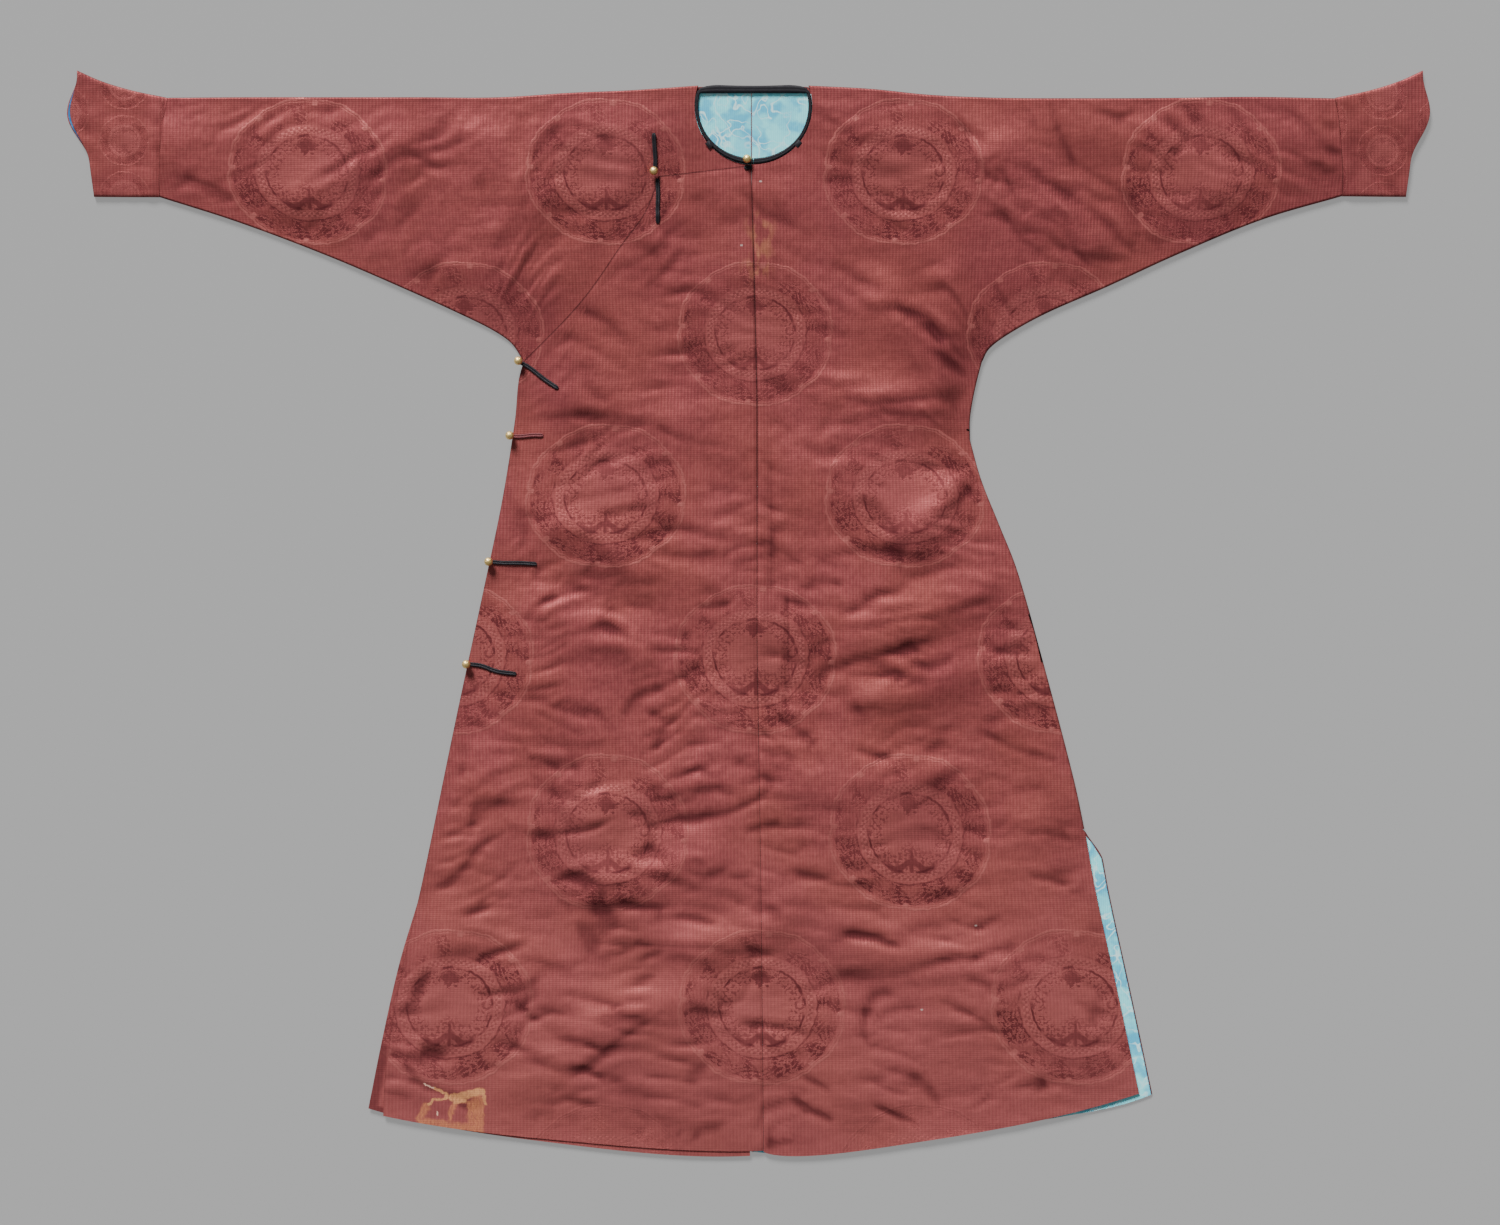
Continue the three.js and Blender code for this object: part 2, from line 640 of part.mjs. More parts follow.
// Ball button on its shank
function buttonSolid(x, y, z) {
  const profile = [{ r: BUTTON.shankRadius, h: 0 }, { r: BUTTON.shankRadius, h: BUTTON.shank }];
  const height = BUTTON.radius * BUTTON.squash;
  const start = Math.asin(BUTTON.shankRadius / BUTTON.radius);
  const sink = height * (1 - Math.cos(start));
  for (let k = 1; k < 8; k += 1) {
    const angle = mix(start, Math.PI, k / 8);
    profile.push({
      r: BUTTON.radius * Math.sin(angle),
      h: BUTTON.shank - sink + height * (1 - Math.cos(angle)),
    });
  }
  const rings = profile.map(({ r, h }) =>
    Array.from({ length: 14 }, (_, k) => {
      const turn = (2 * Math.PI * k) / 14;
      return point(x + r * Math.cos(turn), y + r * Math.sin(turn), z + h);
    }),
  );
  return skin(rings);
}

// Binding round the neck: a flat band with rounded edges, open at the front
function bindingSolid() {
  const start = Math.atan2(NECK.topY - NECK.y, 73);
  const path = [];
  const sweepFrom = -Math.PI / 2 + 0.006;
  const arc = (from, to, count) => {
    for (let i = 0; i <= count; i += 1) path.push(mix(from, to, i / count));
  };
  arc(sweepFrom, start, 14);
  const backFrom = path.length;
  arc(start, Math.PI - start, 8);
  const backTo = path.length;
  arc(Math.PI - start, 1.5 * Math.PI - 0.006, 14);
  const stationsRound = path
    .map((angle, i) => ({ angle, back: i >= backFrom && i < backTo }))
    .filter((s, i) => i !== backFrom && i !== backTo);
  const centre = point(NECK.x, NECK.y);
  const rings = stationsRound.map(({ angle, back }) => {
    const reach = back ? (NECK.topY - NECK.y) / Math.sin(angle) : BINDING.outer;
    const edgeReach = Math.min(BINDING.outer, reach);
    const outward = point(Math.cos(angle), Math.sin(angle));
    const outer = centre.clone().addScaledVector(outward, edgeReach);
    const front = Math.max(0, -Math.sin(angle)) ** 3;
    const width = mix(BINDING.side, BINDING.front, front);
    const inner = centre.clone().addScaledVector(outward, edgeReach - width);
    if (back || Math.sin(angle) > 0.2) {
      const limit = NECK.topY - BINDING.back;
      if (inner.y > limit) inner.y = limit;
    }
    const ring = [];
    for (const [u, w] of [[0, 0.15], [0, 0.7], [0.2, 1], [0.8, 1], [1, 0.7], [1, 0.15], [0.85, 0], [0.15, 0]]) {
      const p = outer.clone().lerp(inner, u);
      ring.push(point(p.x, p.y, mix(BINDING.low, BINDING.high, w)));
    }
    return ring;
  });
  return skin(rings.reverse());
}

const COLOURS = {
  silk: [0x8f4744, 0.45, 0],
  blue: [0x96cfe0, 0.4, 0],
  deepBlue: [0x1d6ea8, 0.45, 0],
  black: [0x14141a, 0.6, 0],
  gilt: [0xd9a74a, 0.3, 0.9],
};
const robe = new THREE.Group();

function add(name, geometry, colour) {
  const [hex, roughness, metalness] = COLOURS[colour];
  const material = new THREE.MeshStandardMaterial({ color: hex, roughness, metalness });
  const mesh = new THREE.Mesh(geometry, material);
  mesh.name = name;
  robe.add(mesh);
}

const leftList = stations("left", LEFT_SLEEVE, LEFT_ARMPIT, LEFT_SKIRT, LEFT_BACK_OUT);
const rightList = stations("right", RIGHT_SLEEVE, RIGHT_ARMPIT, RIGHT_SKIRT, RIGHT_BACK_OUT);
const leftBody = bodyHalf("left", leftList, frontHeight);
const rightBody = bodyHalf("right", rightList, underHeight);
const flap = flapSheet();
add("body_left", thicken(leftBody, CLOTH), "silk");
add("body_right", thicken(rightBody, CLOTH), "silk");
add("outer_flap", thicken(flap, CLOTH), "silk");
add("lining_left", thicken(liningSheet("left", leftList), LINING_CLOTH), "blue");
add("lining_right", thicken(liningSheet("right", rightList), LINING_CLOTH), "blue");

const cuffs = [
  { name: "cuff_left", sign: 1, list: leftList, bulge: CUFF_BULGE.back },
  { name: "cuff_right", sign: -1, list: rightList, bulge: CUFF_BULGE.rightBack },
];
for (const { name, sign, list, bulge } of cuffs) {
  const out = sign * SEAM_GAP;
  const seam = {
    top: { x: list[0].edge.x + out },
    low: { x: list[0].to.x + out, y: list[0].to.y },
  };
  add(name, thicken(cuffSheet(sign, seam, bulge), CLOTH), "silk");
  if (sign > 0) continue;
  const liner = new Sheet();
  const level = () => LINING_Z + LINING_CLOTH;
  const inner = { top: { x: seam.top.x - 6 }, low: { x: seam.low.x - 6, y: seam.low.y } };
  const rows = cuffGrid(sign, inner, bulge - 1, level, { from: 0.06, to: 0.06 });
  rows.forEach((row) => row.forEach((p) => (p.x += 0.8)));
  liner.grid(rows, true);
  add("cuff_right_lining", thicken(liner, LINING_CLOTH), "deepBlue");
}

add("neck_binding", bindingSolid(), "black");
const cloth = [leftBody, rightBody, flap];
const bindingTop = BINDING.high;
const restAt = {};
for (const strip of [...STRIPS, NECK_LOOP]) {
  const made = stripSolid(strip, cloth);
  add(strip.name, made.geometry, strip.name === "waist_loop_1" ? "silk" : "black");
  restAt[strip.name.replace(/loop(_upper)?/, "button")] = made.top;
}
for (const { name, x, y } of BUTTONS) {
  const base = name === "neck_button" ? bindingTop : restAt[name];
  add(name, buttonSolid(x, y, base + LAYER_GAP), "gilt");
}

// The origin is the middle of the robe's box, on its underside
const box = new THREE.Box3().setFromObject(robe);
const middle = box.getCenter(point(0, 0));
for (const mesh of robe.children) mesh.geometry.translate(-middle.x, -middle.y, -box.min.z);

export default robe;
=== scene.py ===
import math
import random

import bpy
import numpy as np
from bpy.props import FloatProperty, FloatVectorProperty, PointerProperty
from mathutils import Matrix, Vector


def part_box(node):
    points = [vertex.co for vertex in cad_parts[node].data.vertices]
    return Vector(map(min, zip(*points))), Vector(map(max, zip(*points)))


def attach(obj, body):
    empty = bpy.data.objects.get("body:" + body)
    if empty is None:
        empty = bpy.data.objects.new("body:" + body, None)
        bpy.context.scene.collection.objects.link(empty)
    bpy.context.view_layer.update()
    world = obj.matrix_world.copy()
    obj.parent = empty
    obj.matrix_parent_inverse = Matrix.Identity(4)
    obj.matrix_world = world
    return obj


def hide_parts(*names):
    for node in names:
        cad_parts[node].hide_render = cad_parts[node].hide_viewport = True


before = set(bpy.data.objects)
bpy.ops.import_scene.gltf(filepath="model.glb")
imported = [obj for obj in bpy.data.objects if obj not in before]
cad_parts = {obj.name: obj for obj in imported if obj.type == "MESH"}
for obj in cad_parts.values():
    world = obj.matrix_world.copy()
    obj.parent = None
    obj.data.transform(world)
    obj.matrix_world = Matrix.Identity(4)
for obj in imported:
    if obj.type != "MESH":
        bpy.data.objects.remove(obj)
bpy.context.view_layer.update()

bl_info = {
    "name": "Laid silk robe",
    "version": (1, 0, 0),
    "blender": (4, 5, 0),
    "location": "View3D > Sidebar > Silk robe",
    "description": "Silk damask robe with a side overlap, laid flat face up",
    "category": "Object",
}

# Millimetres in the cutter's frame, whose middle is moved onto the frame's own
MM = 0.001
MIDDLE = np.array((2.3, 2.235, 0.0))

# Resting levels of the layers, from the ground up
CLOTH = 1.2
LINING_Z = CLOTH + 0.3
LINING_TOP = LINING_Z + 1.0
UNDER_TOP = LINING_TOP + 0.3 + CLOTH + 0.1
FRONT_TOP = UNDER_TOP + 0.3 + CLOTH
SEAM_GAP = 0.35

NECK_X, NECK_Y, NECK_RADIUS, NECK_TOP = 4.5, 674.5, 78.5, 701.6

# Left half, from the cuff seam to the neck: shoulder fold x, y, underarm seam x, y
LEFT_SLEEVE = [
    (778.7, 684.5, 788, 554),
    (667, 686.5, 683, 523),
    (547, 685, 571, 477),
    (440, 684.7, 475, 433),
    (333, 685.3, 397, 399),
    (240, 689.3, 349, 373),
    (160, 697.3, 320, 352),
    (78, 701.6, 309, 333),
]
LEFT_ARMPIT = [(309, 333), (302.7, 309), (297, 283), (293, 256), (293, 229)]
# Centre edge y, side seam x, y
LEFT_SKIRT = [
    (596, 293, 229),
    (456, 308, 176),
    (320, 332, 116),
    (176, 356, 55),
    (-37, 389, -61),
    (-224, 431, -221),
    (-300, 446, -292),
    (-384, 460, -370),
    (-540, 490, -508),
    (-718.7, 518.3, -641.3),
]
RIGHT_SLEEVE = [
    (-775.2, 685.3, -786, 552.7),
    (-667, 686, -680, 518.7),
    (-547, 686, -560, 473.3),
    (-440, 686, -450, 426),
    (-333, 686, -382, 395),
    (-240, 692, -342, 375),
    (-160, 695.3, -318, 358),
    (-69, 701.6, -303, 336),
]
RIGHT_ARMPIT = [(-303, 336), (-303, 309), (-306, 283), (-308, 256), (-310, 229)]
RIGHT_SKIRT = [
    (596, -310, 229),
    (456, -321, 176),
    (320, -332, 116),
    (176, -344, 55),
    (-37, -370, -61),
    (-224, -405, -221),
    (-300, -420, -292),
    (-384, -438, -370),
    (-480, -466, -464),
    (-590, -488, -560),
    (-724.5, -508.4, -661.3),
]
HALF = {
    "left": (LEFT_SLEEVE, LEFT_ARMPIT, LEFT_SKIRT),
    "right": (RIGHT_SLEEVE, RIGHT_ARMPIT, RIGHT_SKIRT),
}
# Where the centre front meets the hem, past which the laid outline ends
OUTLINE_END = (17.8, -730)
VENT_Y = -292
# Hem sag: drop, lean, power
HEM = {"left": (19, 0.75, 3), "right": (15, 1, 3), "flap": (11, 1, 3), "back": (13, 1, 6)}
CUFF_SEAM_BOW = 4
# The back: how far it shows beside the front below the vent, how much higher its hem
# is than the front's, and how far its neck edge lies below the top of the neck
BACK_OUT = {"left": 18, "right": -8}
BACK_HEM = {"left": -1, "right": 6}
BACK_DROP = 1.5
FOLD_BULGE = {"left": 2.8, "right": 2.3}

CENTRE_SEAM = [
    (1.3, 596),
    (5.3, 456),
    (9.3, 283),
    (9.3, -37),
    (14.7, -384),
    (17.3, -640),
    (17.8, -720),
]
BACK_SEAM_X = 2
# Wall of the linings in metres
LINING_WALL = 0.001
OVERLAP_NECK = [(0.5, 595.3), (-40, 590), (-80, 585), (-122, 580.5)]
OVERLAP_SIDE = [(-122, 580.5), (-140, 533), (-172, 489), (-214, 428), (-250, 386), (-301, 335)]
FLAP_SIDE = [
    (-301, 335),
    (-308, 309),
    (-313, 256),
    (-330, 149),
    (-352, 43),
    (-392, -144),
    (-436, -357),
    (-469, -504),
    (-486, -619),
    (-488.5, -671),
]
CORNER_SHARE = 5 / 13

CUFF_TOP = [(779, 685), (827, 695.5), (866, 708), (896.5, 722)]
CUFF_END_LOW = (873.5, 552.5)
CUFF_REACH = 0.72
# How far a fold of the cuff bulges, and about how long the cuff is from fold to fold
CUFF_FOLD, CUFF_HEIGHT = 2.8, 140
# Cut of the cuffs and linings: width and length, then area, in metres
CUFF_CUT = {"left": ((0.126, 0.34), 0.0314), "right": ((0.135, 0.34), 0.0326)}
LINING_CUT = {"left": ((0.532, 1.416), 0.541), "right": ((0.500, 1.416), 0.525)}
CUFF_BULGE = {"front": 17, "left": 17, "right": 22}

# Rows of woven roundels: y, x of the middle one, spacing across
ROUNDEL_ROWS = [
    (809, 6, 397),
    (583, 6, 397),
    (372, 7, 384),
    (152, 7.5, 399),
    (-57, 7, 403),
    (-295, 12, 402),
    (-525, 16, 416),
    (-760, 18, 420),
]
ACROSS, DOWN = 0.398, 0.240

# The largest folds, soft ridges: x0, y0, x1, y1, width, height
RIDGES = [
    (262, 440, 292, 365, 26, 4.5),
    (180, 420, 262, 303, 28, 5),
    (107, 292, 262, 262, 27, 4),
    (285, 172, 215, 96, 27, 5.5),
    (150, -30, 313, 30, 30, 4.5),
    (173, -115, 333, -65, 30, 4),
    (67, -234, 280, -215, 34, 4),
    (107, -440, 333, -470, 32, 4),
    (-267, 3, -147, -51, 28, 4.5),
    (-253, 115, -147, 50, 28, 4),
    (-253, 283, -93, 250, 32, 3.5),
    (-200, -262, -67, -225, 26, 4),
    (-200, -362, -67, -327, 28, 4),
    (-80, -450, 27, -417, 28, 4.5),
    (-200, -545, -67, -510, 28, 4.5),
    (-300, -620, -183, -560, 30, 3),
    (333, 610, 450, 490, 34, 4),
    (540, 645, 620, 570, 32, 3.5),
    (-467, 616, -590, 560, 32, 3.5),
    (-363, 636, -285, 549, 34, 4),
]

# Creases marked on a grid of 4/3 mm squares, its zero at the upper left:
# width mm, depth mm, then the points the trough runs through
GRID = 4 / 3
GRID_ZERO = (750, 612)
CREASES = [
    (6.5, 3.0, (864, 312), (897, 307), (926, 317), (945, 334), (969, 345)),
    (5.5, 2.6, (907, 322), (931, 327), (945, 349), (964, 356)),
    (6, 2.8, (912, 349), (940, 355), (968, 374), (975, 383)),
    (6.5, 2.8, (836, 390), (869, 403), (916, 399), (964, 391)),
    (6, 2.2, (845, 422), (883, 412), (945, 418)),
    (8, 2.2, (836, 268), (871, 286), (907, 296)),
    (6, 2.0, (964, 155), (992, 179), (1030, 193)),
    (6, 1.8, (973, 196), (1002, 213), (1021, 240)),
    (6, 2.0, (1090, 108), (1118, 118), (1140, 112)),
    (6, 2.0, (1285, 150), (1310, 166), (1332, 170)),
    (6, 1.8, (400, 150), (440, 168), (470, 166)),
    (6, 1.8, (180, 176), (215, 190), (240, 208)),
    (6, 1.6, (545, 208), (590, 214), (640, 206)),
    (6, 2.0, (560, 300), (610, 322), (640, 352)),
    (6, 1.8, (640, 300), (690, 290), (735, 300)),
    (6, 2.2, (530, 420), (590, 414), (660, 424)),
    (6, 2.0, (620, 540), (680, 528), (735, 536)),
    (6, 2.0, (800, 560), (870, 548), (930, 560)),
    (6, 2.8, (980, 473), (960, 499), (930, 520)),
    (6, 2.6, (928, 108), (950, 117), (971, 134), (989, 144)),
    (6.5, 2.2, (834, 621), (879, 592), (914, 595)),
    (7, 3.2, (834, 665), (872, 656), (911, 644), (952, 635)),
    (6.5, 2.0, (841, 675), (911, 678)),
    (6.5, 1.8, (844, 707), (898, 708)),
    (6.5, 2.0, (923, 621), (1000, 595)),
    (6.5, 2.0, (560, 582), (608, 598)),
    (6, 2.6, (595, 617), (627, 633), (633, 644)),
    (6.5, 2.2, (566, 652), (624, 652), (635, 665)),
    (6.5, 2.2, (560, 703), (601, 713), (617, 732)),
    (6, 2.0, (640, 707), (665, 719), (697, 719)),
    (6, 2.0, (691, 713), (726, 726), (739, 723)),
    (6, 1.8, (684, 745), (723, 742)),
    (6, 1.6, (731, 761), (750, 761)),
    (6.5, 2.0, (520, 764), (578, 766), (587, 757)),
    (6, 2.2, (673, 778), (699, 768), (719, 778)),
    (6, 2.2, (685, 801), (701, 789), (719, 787), (743, 798)),
    (6, 2.8, (645, 826), (688, 818), (717, 813), (746, 810)),
    (6.5, 2.2, (627, 856), (662, 844)),
    (6.5, 2.2, (543, 870), (581, 875), (610, 888), (639, 882)),
    (6, 2.0, (653, 875), (681, 882), (704, 890)),
    (6, 2.0, (685, 873), (707, 876), (734, 865)),
    (6, 1.8, (725, 876), (756, 876)),
    (6.5, 2.8, (558, 905), (606, 907), (658, 898)),
    (6.5, 2.0, (464, 931), (511, 943)),
    (6.5, 2.2, (511, 955), (569, 968), (587, 960)),
    (6, 1.8, (597, 942), (710, 947), (757, 950)),
    (6.5, 2.0, (532, 1007), (574, 1015)),
    (6.5, 2.0, (587, 997), (634, 1010)),
    (6.5, 2.0, (553, 1036), (592, 1042)),
    (5.5, 1.6, (553, 1096), (592, 1060), (631, 1031), (673, 1005)),
    (6, 1.8, (520, 1122), (548, 1110)),
    (5, 2.0, (658, 1122), (679, 1130), (681, 1144)),
    (5, 1.8, (684, 1143), (702, 1133)),
    (7, 1.8, (565, 525), (600, 548), (632, 585)),
    (7, 1.8, (1010, 160), (1060, 190), (1118, 232)),
    (7, 1.6, (1040, 240), (1085, 258), (1130, 262)),
    (6.5, 1.6, (1322, 122), (1338, 132)),
    (6.5, 1.6, (1322, 148), (1342, 156)),
    (6.5, 1.4, (1320, 170), (1336, 176)),
    (6.5, 1.4, (85, 95), (105, 130)),
    (5, 1.6, (774, 1130), (765, 1150)),
    (7, 1.6, (686, 196), (710, 204)),
    (7, 1.6, (770, 206), (790, 212)),
    (6.5, 1.6, (812, 935), (862, 928), (905, 938)),
    (6.5, 1.8, (905, 968), (955, 955), (1000, 962)),
    (6.5, 1.6, (830, 1005), (880, 1012)),
    (6.5, 1.8, (925, 1040), (975, 1028), (1030, 1036)),
    (6.5, 1.6, (845, 1075), (900, 1082)),
    (6.5, 1.6, (1000, 1090), (1055, 1078)),
    (6.5, 1.6, (950, 1118), (1010, 1124)),
    (5, 1.8, (786, 562), (787, 640), (784, 736)),
    (5, 1.2, (771, 420), (772, 520), (770, 640)),
]

# Loops, lying strips: name, node, points on the same grid
LOOPS = [
    ("chest_loop_upper", (655, 172), (655.4, 160), (654.6, 147), (654, 134)),
    ("chest_loop_lower", (657.5, 179), (658.2, 194), (657.8, 210), (658, 224)),
    ("underarm_loop", (518.5, 361.5), (530, 368), (544, 379), (558.5, 389)),
    ("waist_loop_1", (509.5, 436), (520, 436.6), (532, 435.4), (543.5, 435.5)),
    ("waist_loop_2", (488.5, 561.7), (503, 562.8), (520, 563), (537, 564)),
    ("waist_loop_3", (465.8, 663.8), (481, 665.4), (497, 671), (516.5, 673.7)),
    ("neck_loop", (744.4, 167.4), (748, 168.4), (751.8, 167.6)),
]
RED_LOOP = "waist_loop_1"
LOOP_WIDTH, LOOP_THICK = 5.6, 2.0
# Buttons: x, y in millimetres
BUTTONS = [
    ("neck_button", -4, 602.7),
    ("chest_button", -128, 586.5),
    ("underarm_button", -308, 334),
    ("waist_button_1", -319.5, 234.7),
    ("waist_button_2", -347.5, 67),
    ("waist_button_3", -377.3, -69.5),
]

# Camera: focal length and sensor in mm, and the width in metres that it sees at the floor
LENS, SENSOR, FIELD = 85, 36, 2.0

SEED = 11


def length_property(name, description, default):
    return FloatProperty(name=name, description=description, default=default, unit="LENGTH")


def colour_property(name, description, default):
    return FloatVectorProperty(
        name=name, description=description, default=default, size=4, min=0, max=1, subtype="COLOR"
    )


class RobeSizes(bpy.types.PropertyGroup):
    """Sizes that a user may change"""

    wall: length_property("Cloth wall", "Thickness of the cloth as modelled", 0.0012)
    crease: FloatProperty(
        name="Crease depth", description="Share of the marked depth of every crease", default=1.0
    )
    roundel: length_property("Roundel radius", "Radius of the large woven roundels", 0.108)
    cuff_roundel: length_property("Cuff roundel radius", "Radius of the cuffs' rounds", 0.034)
    rib: length_property("Rib pitch", "Distance from one rib of the silk to the next", 0.0045)
    button: length_property("Button radius", "Radius of each ball button", 0.0058)


class RobeColours(bpy.types.PropertyGroup):
    """Colours that a user may change"""

    silk: colour_property("Silk", "Ground of the red-brown damask", (0.325, 0.067, 0.073, 1))
    # Silk, light also serves as the painted highlight on fold crests and the painted light toward
    # the hem
    silk_light: colour_property("Silk, light", "Raised lines of the weave", (0.46, 0.132, 0.124, 1))
    # Silk, dark also serves as the painted shade toward the top and on the under layer's corner
    silk_dark: colour_property("Silk, dark", "Sunken figures of the weave", (0.108, 0.02, 0.025, 1))
    stain: colour_property("Stain", "Bleached mark near the hem", (0.86, 0.39, 0.17, 1))
    lining: colour_property("Lining", "Pale blue damask inside", (0.29, 0.95, 1.0, 1))
    # Lining, dark also serves as the painted shade in the lining's hollows
    lining_dark: colour_property("Lining, dark", "Figures of its weave", (0.035, 0.42, 0.7, 1))
    cuff_lining: colour_property("Cuff lining", "Blue silk in the cuff", (0.006, 0.17, 0.42, 1))
    satin: colour_property("Binding", "Black satin of the neck and loops", (0.006, 0.005, 0.008, 1))
    gilt: colour_property("Gilt", "Gilded brass of the buttons", (1.0, 0.74, 0.30, 1))
    ground: colour_property("Ground", "Plain floor", (0.15, 0.15, 0.1495, 1))


# ---------------------------------------------------------------- shapes


def ease(t):
    s = np.clip(t, 0, 1)
    return s * s * (3 - 2 * s)


def run_through(rows, t):
    """Smooth run through table rows, at shares t of its length."""
    rows = np.array(rows, float)
    t = np.atleast_1d(np.asarray(t, float))
    spans = np.linalg.norm(np.diff(rows, axis=0), axis=1)
    marks = np.concatenate([[0], np.cumsum(spans)])
    at = np.clip(t, 0, 1) * marks[-1]
    i = np.clip(np.searchsorted(marks, at, side="right") - 1, 0, len(spans) - 1)
    s = ((at - marks[i]) / spans[i])[:, None]
    before = np.maximum(np.arange(len(rows)) - 1, 0)
    after = np.minimum(np.arange(len(rows)) + 1, len(rows) - 1)
    slope = (rows[after] - rows[before]) / (marks[after] - marks[before])[:, None]
    span = spans[i][:, None]
    return (
        (2 * s**3 - 3 * s**2 + 1) * rows[i]
        + (s**3 - 2 * s**2 + s) * span * slope[i]
        + (3 * s**2 - 2 * s**3) * rows[i + 1]
        + (s**3 - s**2) * span * slope[i + 1]
    )


def seam_x(y):
    """x of the centre front seam at a height y."""
    x, at = np.array(CENTRE_SEAM).T
    return np.interp(-np.asarray(y, float), -at, x)


def from_grid(points):
    """Grid squares to millimetres."""
    p = np.array(points, float)
    return (p - GRID_ZERO) * (GRID, -GRID)


def distance_along(x, y, line):
    """Distance to a line of points, and the share of its length passed."""
    line = np.array(line, float)
    spans = np.linalg.norm(np.diff(line, axis=0), axis=1)
    marks = np.concatenate([[0], np.cumsum(spans)])
    best = np.full(np.shape(x), 1e9)
    along = np.zeros(np.shape(x))
    for (ax, ay), (bx, by), span, mark in zip(line, line[1:], spans, marks):
        if span == 0:
            continue
        dx, dy = bx - ax, by - ay
        t = np.clip(((x - ax) * dx + (y - ay) * dy) / span**2, 0, 1)
        off = np.hypot(x - ax - dx * t, y - ay - dy * t)
        near = off < best
        best = np.where(near, off, best)
        along = np.where(near, (mark + t * span) / marks[-1], along)
    return best, along


def side_outline(sleeve, armpit, skirt, end):
    """The laid edge of one half: shoulder fold, then underarm, side and hem."""
    top = [(r[0], r[1]) for r in reversed(sleeve)]
    under = [(r[2], r[3]) for r in sleeve]
    side = list(armpit) + [(r[1], r[2]) for r in skirt]
    return [top, under + side + [end]]


OUTLINE = side_outline(*HALF["left"], OUTLINE_END) + side_outline(*HALF["right"], OUTLINE_END)


def edge_distance(x, y):
    return np.min([distance_along(x, y, line)[0] for line in OUTLINE], axis=0)


def waves(x, y, count, short, long, seed):
    """Seeded low swells between two wavelengths, from about -1 to 1."""
    rng = random.Random(seed)
    total = np.zeros(np.shape(x))
    for _ in range(count):
        turn = rng.uniform(0, math.tau)
        length = rng.uniform(short, long)
        phase = rng.uniform(0, math.tau)
        total += np.sin((x * math.cos(turn) + y * math.sin(turn)) * math.tau / length + phase)
    return total / math.sqrt(count / 2) / 1.6


# Where short creases lie: x and y ranges, how many, their turn and its spread, depth up to
FAINT = [
    (-420, 460, -650, -330, 60, 0.0, 0.26, 1.9),
    (-360, 400, -330, 20, 56, 0.0, 0.26, 1.8),
    (-290, 290, 20, 330, 36, 0.0, 0.34, 1.6),
    (-300, 300, 330, 600, 22, -0.35, 0.4, 1.4),
    (330, 770, 470, 670, 26, -0.5, 0.3, 1.6),
    (-770, -330, 470, 670, 20, 0.5, 0.3, 1.4),
]


# Nets of creases that run across: wavelengths from and to, their spread, depth, width, seed
CREASE_NETS = [(90, 210, 0.42, 1.9, 6.5, 21), (45, 110, 0.36, 1.1, 5.0, 31)]

# Fullness of the laid cloth in mm: all over, under the buttons, beside the neck
FULL, FULL_AT_BUTTON, FULL_AT_NECK = 2.8, 1.6, 0.9
# How far in from the laid edge the cloth's fullness and its creases begin
FULL_FROM_EDGE, CREASED_FROM_EDGE = 60, 22
# How far the creases turn with the sleeves, in radians
SLEEVE_TURN = 0.6


def faint_creases():
    """Short seeded troughs between the marked ones."""
    rng = random.Random(SEED)
    rows = []
    for x0, x1, y0, y1, count, turn, spread, deep in FAINT:
        for _ in range(count):
            x, y = rng.uniform(x0, x1), rng.uniform(y0, y1)
            length, slant = rng.uniform(30, 105), rng.gauss(turn, spread)
            dx, dy = length / 2 * math.cos(slant), length / 2 * math.sin(slant)
            bend = rng.uniform(-0.14, 0.14) * length
            depth = deep * rng.uniform(0.25, 1) ** 1.5
            ends = (x - dx, y - dy), (x, y + bend), (x + dx, y + dy)
            rows.append((rng.uniform(5.5, 9.5), depth, *ends))
    return rows


def valley(off, width):
    """A valley's depth across it: steep on the neck side, gentle on the hem side."""
    return np.exp(-((off / np.where(off > 0, 0.85 * width, 1.9 * width)) ** 2))


def add_trough(z, x, y, width, depth, line):
    """A soft swelling with a narrow valley along a line."""
    line = np.array(line, float)
    reach = 7 * width
    low, high = line.min(0) - reach, line.max(0) + reach
    near = (x > low[0]) & (x < high[0]) & (y > low[1]) & (y < high[1])
    if not near.any():
        return
    off, along = distance_along(x[near], y[near], line)
    order = line[np.argsort(line[:, 0])]
    above = y[near] > np.interp(x[near], order[:, 0], order[:, 1])
    taper = np.sin(np.pi * np.clip(along, 0.04, 0.96)) ** 0.8
    swell = 0.4 * np.exp(-((off / (3.2 * width)) ** 2))
    swell -= 1.1 * valley(np.where(above, off, -off), width)
    z[near] += depth * taper * swell


def crease_lines(x, y, short, long, spread, width, seed):
    """1 along the level lines of seeded swells that run across, 0 away from them."""
    rng = random.Random(seed)
    y = y + 16 * waves(x, y, 6, 130, 320, seed + 1)
    total, dx, dy = np.zeros((3,) + np.shape(x))
    for _ in range(10):
        turn = math.pi / 2 + rng.uniform(-spread, spread)
        k = math.tau / rng.uniform(short, long)
        phase = k * (x * math.cos(turn) + y * math.sin(turn)) + rng.uniform(0, math.tau)
        total += np.sin(phase)
        dx += k * math.cos(turn) * np.cos(phase)
        dy += k * math.sin(turn) * np.cos(phase)
    least = 0.7 * math.tau / (0.5 * (short + long)) * math.sqrt(5)
    return valley(total / np.maximum(np.hypot(dx, dy), least) * np.sign(dy), width)


def ripples(x, y, short, long, seed):
    """Small long waves that run across, from about -1 to 1."""
    rng = random.Random(seed)
    y = y + 12 * waves(x, y, 6, 90, 240, seed + 1)
    total = np.zeros(np.shape(x))
    for _ in range(12):
        turn = math.pi / 2 + rng.uniform(-0.3, 0.3)
        k = math.tau / rng.uniform(short, long)
        total += np.sin(k * (x * math.cos(turn) + y * math.sin(turn)) + rng.uniform(0, math.tau))
    return total / 4


